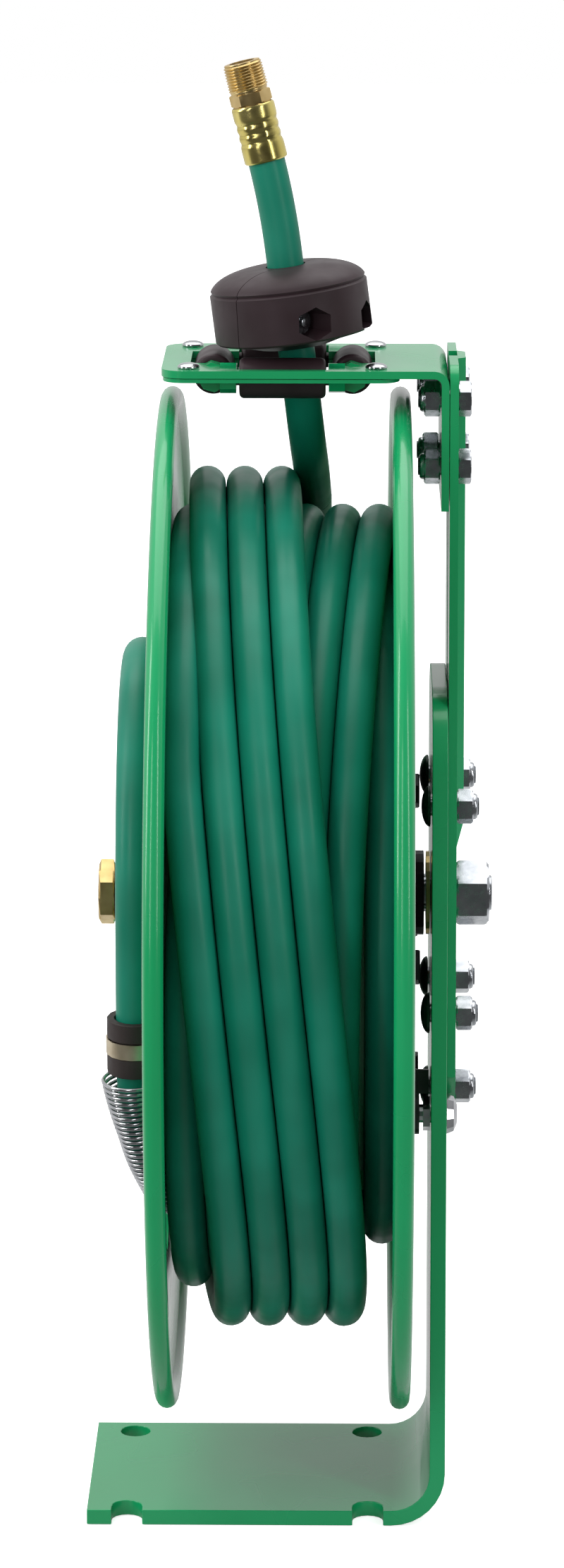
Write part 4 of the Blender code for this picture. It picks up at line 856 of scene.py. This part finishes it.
arm_places = [(y, z) for y in (-ARM_BOLT_Y, ARM_BOLT_Y) for z in (-ARM_BOLT_LEVEL, ARM_BOLT_LEVEL)]
for i, (y, z) in enumerate(arm_places):
    lock_nut_bolt(f"arm_bolt_{i + 1}", y, z, UPRIGHT_IN - GAP, ARM_OUT + GAP, True)
lock_nut_bolt("arm_toe_bolt", 0, TOE_BOLT_LEVEL, UPRIGHT_IN - GAP, ARM_OUT + GAP, True)
head_places = [(y, z) for y in (-HEAD_BOLT_Y, HEAD_BOLT_Y) for z in HEAD_BOLT_LEVELS]
for i, (y, z) in enumerate(head_places):
    lock_nut_bolt(f"head_bolt_{i + 1}", y, z, ARM_OUT + GAP, UPRIGHT_OUT - BRACKET_SHEET - GAP, False)

nut_seat = ARM_OUT + GAP
obj = turned("axle_nut_piece", nut_sections(nut_seat, 1.0, AXLE_NUT_AF, AXLE_NUT_THICK), AXLE_NUT_STEPS)
boolean(obj, pin((nut_seat - 0.01, 0, 0), (1, 0, 0), 0.04, AXLE_NUT_BORE / 2, 48))
obj.data.set_sharp_from_angle(angle=math.radians(NUT_SHARP))
piece(placed(obj, lift), ZINC, "frame", "axle_nut", slot="zinc_steel")

rows = [ring(AXLE_START, AXLE - 2 * AXLE_CHAMFER), ring(AXLE_START + AXLE_CHAMFER, AXLE),
        ring(UPRIGHT_OUT, AXLE)]
rows += thread(AXLE_THREAD_AT, AXLE_THREAD, AXLE, AXLE_PITCH, AXLE_THREAD_DEPTH)
rows += [ring(AXLE_END - AXLE_POINT_LENGTH, AXLE_ROOT), ring(AXLE_END, AXLE_POINT_ACROSS)]
piece(placed(rows_to_piece("axle_piece", rows, False), lift), ZINC, "frame", "axle", slot="zinc_steel")


# Rivets, from the upset end under the plate to the dome on it

rivet_places = [(GUIDE_X + sx * RIVET_X, sy * RIVET_Y) for sx in (-1, 1) for sy in (-1, 1)]
for i, (x, y) in enumerate(rivet_places):
    top = ROLLER_LEVEL + BRACKET_LIFT + BRACKET_SHEET + GAP
    sections = [(top - RIVET_LENGTH, "round", RIVET_TAIL_END), (top - RIVET_TAIL_AT, "round", RIVET_TAIL),
                (top - RIVET_TAIL_AT, "round", RIVET_SHANK), (top, "round", RIVET_SHANK),
                (top, "round", RIVET_EDGE), (top + DOME_LIP, "round", RIVET_HEAD)]
    sections += domed(top, 1.0, DOME_LIP, RIVET_RISE, RIVET_HEAD, RIVET_DOME_STEPS, RIVET_DOME_SWEEP)
    turn = Matrix.Translation((x, y, AXLE_Z)) @ Matrix.Rotation(math.radians(-90), 4, "Y")
    piece(placed(turned(f"rivet_{i + 1}", sections, RIVET_STEPS), turn), STEEL, "frame",
          f"bracket_rivet_{i + 1}", slot="bright_steel")


# Rollers

def roller(name, x, y, length, turn):
    """A roller with rounded ends on its pin, along X before the turn."""
    half = length / 2
    tip = half + ROLLER_PIN_OUT
    sections = [(-tip, ROLLER_PIN - 2 * PIN_CHAMFER), (-tip + PIN_CHAMFER, ROLLER_PIN),
                (-half, ROLLER_PIN), (-half, ROLLER_END)]
    for i in range(ROLLER_END_STEPS + 1):
        a = math.radians(90 * i / ROLLER_END_STEPS)
        sections.append((-half + ROLLER_ROUND * (1 - math.cos(a)), ROLLER_END + ROLLER_SWELL * math.sin(a)))
    sections += [(-at, size) for at, size in reversed(sections)]
    obj = lathe(name + "_roller_piece", [(at, size / 2) for at, size in sections], ROLLER_STEPS, False)
    placed(obj, Matrix.Translation((x, y, AXLE_Z + ROLLER_LEVEL)) @ turn)
    piece(obj, BLACK_PLASTIC, name + "_guide_roller", name + "_roller", slot="black_plastic")


to_the_back = Matrix.Rotation(math.radians(90), 4, "Z")
roller("left", GUIDE_X - ROLLER_SIDE, 0, SIDE_ROLLER, to_the_back)
roller("right", GUIDE_X + ROLLER_SIDE, 0, SIDE_ROLLER, to_the_back)
roller("front", GUIDE_X, -ROLLER_FRONT, FRONT_ROLLER, Matrix.Identity(4))
roller("rear", GUIDE_X, ROLLER_FRONT, FRONT_ROLLER, Matrix.Identity(4))


# Ball stop

def stop_profile():
    """(height, radius) of the stop from its bore round the foot, band and dome."""
    shoulder = STOP_CHAMFER + STOP_BAND
    profile = [(0, STOP_BORE), (0, STOP_FOOT), (FLARE_HEIGHT, STOP_FOOT + STOP_FLARE),
               (STOP_CHAMFER - LOWER_EDGE, STOP_RADIUS - LOWER_EDGE), (STOP_CHAMFER, STOP_RADIUS),
               (shoulder, STOP_RADIUS), (shoulder + SHOULDER_RISE, STOP_RADIUS - SHOULDER_INSET)]
    top = STOP_BORE + STOP_LIP
    rest = STOP_HEIGHT - STOP_CHAMFER - STOP_BAND
    for i in range(2, STOP_DOME_STEPS + 1):
        a = math.radians(90 * i / STOP_DOME_STEPS)
        profile.append((shoulder + rest * math.sin(a), top + (STOP_RADIUS - top) * math.cos(a)))
    profile.append((STOP_HEIGHT, STOP_BORE))
    return profile


def ball_stop():
    """Two moulded halves with nut pockets, held by two screws across the split."""
    way = Vector((-math.tan(math.radians(STOP_LEAN)), 0, 1))
    place = frame_along((run_x(STOP_BASE), HOSE_Y, AXLE_Z + STOP_BASE), way)
    split = math.radians(STOP_SPLIT)
    normal = Vector((math.sin(split), -math.cos(split), 0))
    across = Vector((0, 0, 1)).cross(normal)
    middle = place @ Vector((STOP_CHAMFER + STOP_BAND * SCREW_SHARE, 0, 0))
    for node, side in (("stop_half_front", 1), ("stop_half_back", -1)):
        obj = placed(lathe(node + "_piece", stop_profile(), STOP_STEPS), place)
        wall = box(-0.1, GAP / 2, -0.1, 0.1, -0.1, 0.1)
        local = place.to_3x3().inverted() @ (normal * side)
        turn = Vector((1, 0, 0)).rotation_difference(local).to_matrix().to_4x4()
        boolean(obj, placed(wall, place @ turn))
        for offset in SCREW_OFFSETS:
            centre = middle + across * offset
            boolean(obj, pin(centre - normal * TOOL_REACH, normal, 2 * TOOL_REACH, SCREW_HOLE, 24))
            pocket = [(POCKET_SEAT, "hex", POCKET_AF), (TOOL_REACH, "hex", POCKET_AF)]
            boolean(obj, placed(turned("tool", pocket, 6), frame_along(centre, normal * side)))
        obj.data.shade_smooth()
        obj.data.set_sharp_from_angle(angle=math.radians(STOP_SHARP))
        piece(obj, BLACK_PLASTIC, "frame", node, slot="black_plastic")
    seat = POCKET_SEAT + GAP
    head = [(-seat - out, "round", size) for out, size in SCREW_HEAD]
    shank = [(-seat, "round", SCREW_SHANK), (seat, "round", SCREW_SHANK)]
    nut = nut_sections(seat, 1.0, SCREW_NUT_AF, SCREW_NUT)
    tip = [(seat + out, "round", size) for out, size in SCREW_TIP]
    for i, offset in enumerate(SCREW_OFFSETS):
        obj = turned(f"stop_screw_{i + 1}_piece", head + shank + nut + tip, SCREW_STEPS)
        placed(obj, frame_along(middle + across * offset, normal))
        piece(obj, ZINC, "frame", f"stop_screw_{i + 1}", slot="zinc_steel")


ball_stop()


# Hose end

def ferrule_rings():
    """A crimped sleeve: three grooves round it, faint flats along it and rounded edges."""
    rows = []
    for i in range(FERRULE_RINGS + 1):
        part = i / FERRULE_RINGS
        dip = sum(math.exp(-((part - groove) / GROOVE_SHARE) ** 2) for groove in GROOVES)
        middle = math.exp(-((part - CRIMP_MIDDLE) / CRIMP_SHARE) ** 4)
        edge = 1 - min(1.0, part / LOW_EDGE, (1 - part) / HIGH_EDGE)
        row = []
        for k in range(FERRULE_STEPS):
            a = 2 * math.pi * k / FERRULE_STEPS
            flat = FLAT_DEPTH * abs(math.cos(4 * a + FLAT_TURN)) * middle
            radius = FERRULE_RADIUS - CRIMP_DEPTH * middle - GROOVE_DEPTH * dip - flat - EDGE_ROUND * edge * edge
            row.append((FERRULE_LENGTH * part, radius * math.cos(a), radius * math.sin(a)))
        rows.append(row)
    rows.append(ring(FERRULE_LENGTH, 2 * FERRULE_BORE, FERRULE_STEPS))
    rows.append(ring(0.0, 2 * FERRULE_BORE, FERRULE_STEPS))
    return rows


def fitting():
    """The plug in the ferrule, the hexagon, the neck and the tapered thread, bored through."""
    foot = FERRULE_LENGTH - FITTING_INSERT
    hex_at = FERRULE_LENGTH + GAP
    neck = hex_at + FITTING_HEX
    sections = [(foot, "round", FITTING_PLUG), (hex_at, "round", FITTING_PLUG)]
    sections += nut_sections(hex_at, 1.0, FITTING_AF, FITTING_HEX)
    sections += [(neck, "round", FITTING_NECK), (neck + NECK_LENGTH, "round", FITTING_NECK)]
    body = turned("end_fitting_piece", sections, FITTING_STEPS)
    start = neck + END_THREAD_AT
    rows = [ring(start - END_MARGIN, END_THREAD_ROOT, FITTING_STEPS)]
    rows += thread(start, END_THREAD, END_THREAD_OUT, END_PITCH, END_THREAD_DEPTH, END_TAPER,
                   FITTING_STEPS, END_PER_TURN)
    rows.append(ring(start + END_THREAD + END_MARGIN, END_MOUTH, FITTING_STEPS))
    boolean(body, rows_to_piece("tool", rows, False, THREAD_SHARP), "UNION")
    boolean(body, pin((foot - 0.01, 0, 0), (1, 0, 0), 0.06, FITTING_BORE, 40))
    body.data.shade_smooth()
    body.data.set_sharp_from_angle(angle=math.radians(NUT_SHARP))
    return body


end_way = Vector((-math.tan(math.radians(END_LEAN)), 0, 1)).normalized()
end_place = frame_along((run_x(FERRULE_BASE), HOSE_Y, AXLE_Z + FERRULE_BASE), end_way)
obj = placed(rows_to_piece("crimp_ferrule_piece", ferrule_rings(), True), end_place)
piece(obj, FERRULE, "frame", "crimp_ferrule", slot="zinc_yellow")
piece(placed(fitting(), end_place), BRASS, "frame", "end_fitting", slot="brass")


# Plates and pressings, with their edges rounded over

softened("pedestal", GREEN, 0.0007, "powder_green")
softened("guide_arm", GREEN, 0.0005, "powder_green")
softened("roller_bracket", GREEN, 0.0004, "powder_green")
softened("keeper_plate", GREEN, 0.0003, "powder_green")
softened("pawl", DARK_STEEL, 0.0004, "black_steel")
softened("clamp_cushion", BLACK_RUBBER, 0.0003, "black_rubber")
softened("clamp_strap", STRAP, 0.0002, "zinc_yellow")

# Solids that keep their own shape and only get a material
for mat, nodes in (
    (GREEN, ("drum",)),
    (BRASS, ("thrust_washer", "swivel_elbow", "swivel_inlet")),
    (BLACK_PLASTIC, ("left_hub", "right_hub")),
    (DARK_STEEL, ("spring_arbor", "ratchet_plate", "hub_bolt_1", "hub_bolt_2", "hub_bolt_3", "spring_case")),
    (STEEL, ("pawl_bolt", "power_spring")),
    (ZINC, ("clamp_screw",)),
):
    for node in nodes:
        solid = frame["nodes"][node]
        solid.data.materials.clear()
        solid.data.materials.append(mat)


# Studio

def area(name, place, size, power):
    """A rectangular lamp that points at the middle of the reel."""
    middle = Vector((0.01, 0, 0.27))
    light = bpy.data.lights.new(name, "AREA")
    light.shape = "RECTANGLE"
    light.size, light.size_y = size
    light.energy = power
    lamp = bpy.data.objects.new(name, light)
    lamp.location = place
    lamp.rotation_mode = "QUATERNION"
    lamp.rotation_quaternion = (middle - Vector(place)).to_track_quat("-Z", "Y")
    bpy.context.scene.collection.objects.link(lamp)


area("left_strip", (-2.0, -0.45, 1.25), (0.34, 1.9), 17)
area("front_strip", (-0.95, -1.9, 1.15), (0.16, 1.7), 7)
area("right_strip", (1.5, -1.45, 1.25), (0.17, 1.9), 10)
area("top", (0.0, 0.5, 2.4), (2.8, 2.4), 34)

# The white room: its light comes from above, and gloss sees it darker where the photographer stands
world = bpy.data.worlds.new("studio")
bpy.context.scene.world = world
world.use_nodes = True
tree = world.node_tree
ray = tree.nodes.new("ShaderNodeLightPath")
way = tree.nodes.new("ShaderNodeTexCoord").outputs["Generated"]
front = spread(tree, facing(tree, way, (0.05, -1.0, 0.05)), 0.78, 0.05, (-0.30, 0.60), smooth=True)
above = spread(tree, facing(tree, way, (-0.20, -0.35, 0.90)), 0.16, 1.0, (-0.2, 1.0))
lit = either(tree, ray.outputs["Is Glossy Ray"], above, front)
seen = math_node(tree, "MAXIMUM", ray.outputs["Is Camera Ray"], ray.outputs["Is Transmission Ray"])
background = tree.nodes["Background"]
background.inputs["Color"].default_value = (1, 1, 1, 1)
tree.links.new(either(tree, seen, lit, 1.0), background.inputs["Strength"])

# The floor: pale to the camera, where it also glows, and dark to the front where only gloss sees it
FLOOR_HALF = 6
FLOOR_Z = -0.0004
floor_verts = [(x * FLOOR_HALF, y * FLOOR_HALF, FLOOR_Z) for x, y in ((-1, -1), (1, -1), (1, 1), (-1, 1))]
floor = made("floor", floor_verts, [(0, 1, 2, 3)])
pale = bpy.data.materials.new("floor_pale")
pale.use_nodes = True
tree = pale.node_tree
shader = tree.nodes["Principled BSDF"]
shader.inputs["Roughness"].default_value = 0.9
shader.inputs["Specular IOR Level"].default_value = 0.0
shader.inputs["Emission Color"].default_value = (1, 1, 1, 1)
ray = tree.nodes.new("ShaderNodeLightPath")
coord = tree.nodes.new("ShaderNodeTexCoord")
split = tree.nodes.new("ShaderNodeSeparateXYZ")
tree.links.new(coord.outputs["Object"], split.inputs[0])
behind = spread(tree, split.outputs["Y"], 0.05, 0.42, (-0.35, 0.20), smooth=True)
tone = either(tree, ray.outputs["Is Glossy Ray"], 0.50, behind)
tree.links.new(either(tree, ray.outputs["Is Camera Ray"], tone, 0.90), shader.inputs["Base Color"])
gloss_glow = math_node(tree, "MULTIPLY", ray.outputs["Is Glossy Ray"], behind)
glow = math_node(tree, "MAXIMUM", ray.outputs["Is Camera Ray"], gloss_glow)
tree.links.new(math_node(tree, "MULTIPLY", glow, 0.72), shader.inputs["Emission Strength"])
floor.data.materials.append(pale)

# The photograph's camera, solved from points on the reel
PHOTO_HEIGHT = 2225
FOCAL_PIXELS = 7274
SENSOR = 36
CAMERA_DOWN = 8.486
CAMERA_TURN = 0.761
camera = bpy.data.cameras.new("photo_camera")
camera.sensor_fit = "AUTO"
camera.sensor_width = SENSOR
camera.lens = FOCAL_PIXELS / PHOTO_HEIGHT * SENSOR
camera.shift_y = -0.2843
camera.clip_start = 0.05
camera.clip_end = 50
cam = bpy.data.objects.new("photo_camera", camera)
cam.location = (0.03366, -2.0753, 0.7986)
cam.rotation_mode = "XYZ"
cam.rotation_euler = (math.radians(90 - CAMERA_DOWN), 0, math.radians(CAMERA_TURN))
bpy.context.scene.collection.objects.link(cam)
bpy.context.scene.camera = cam
bpy.context.scene.view_settings.view_transform = "Standard"
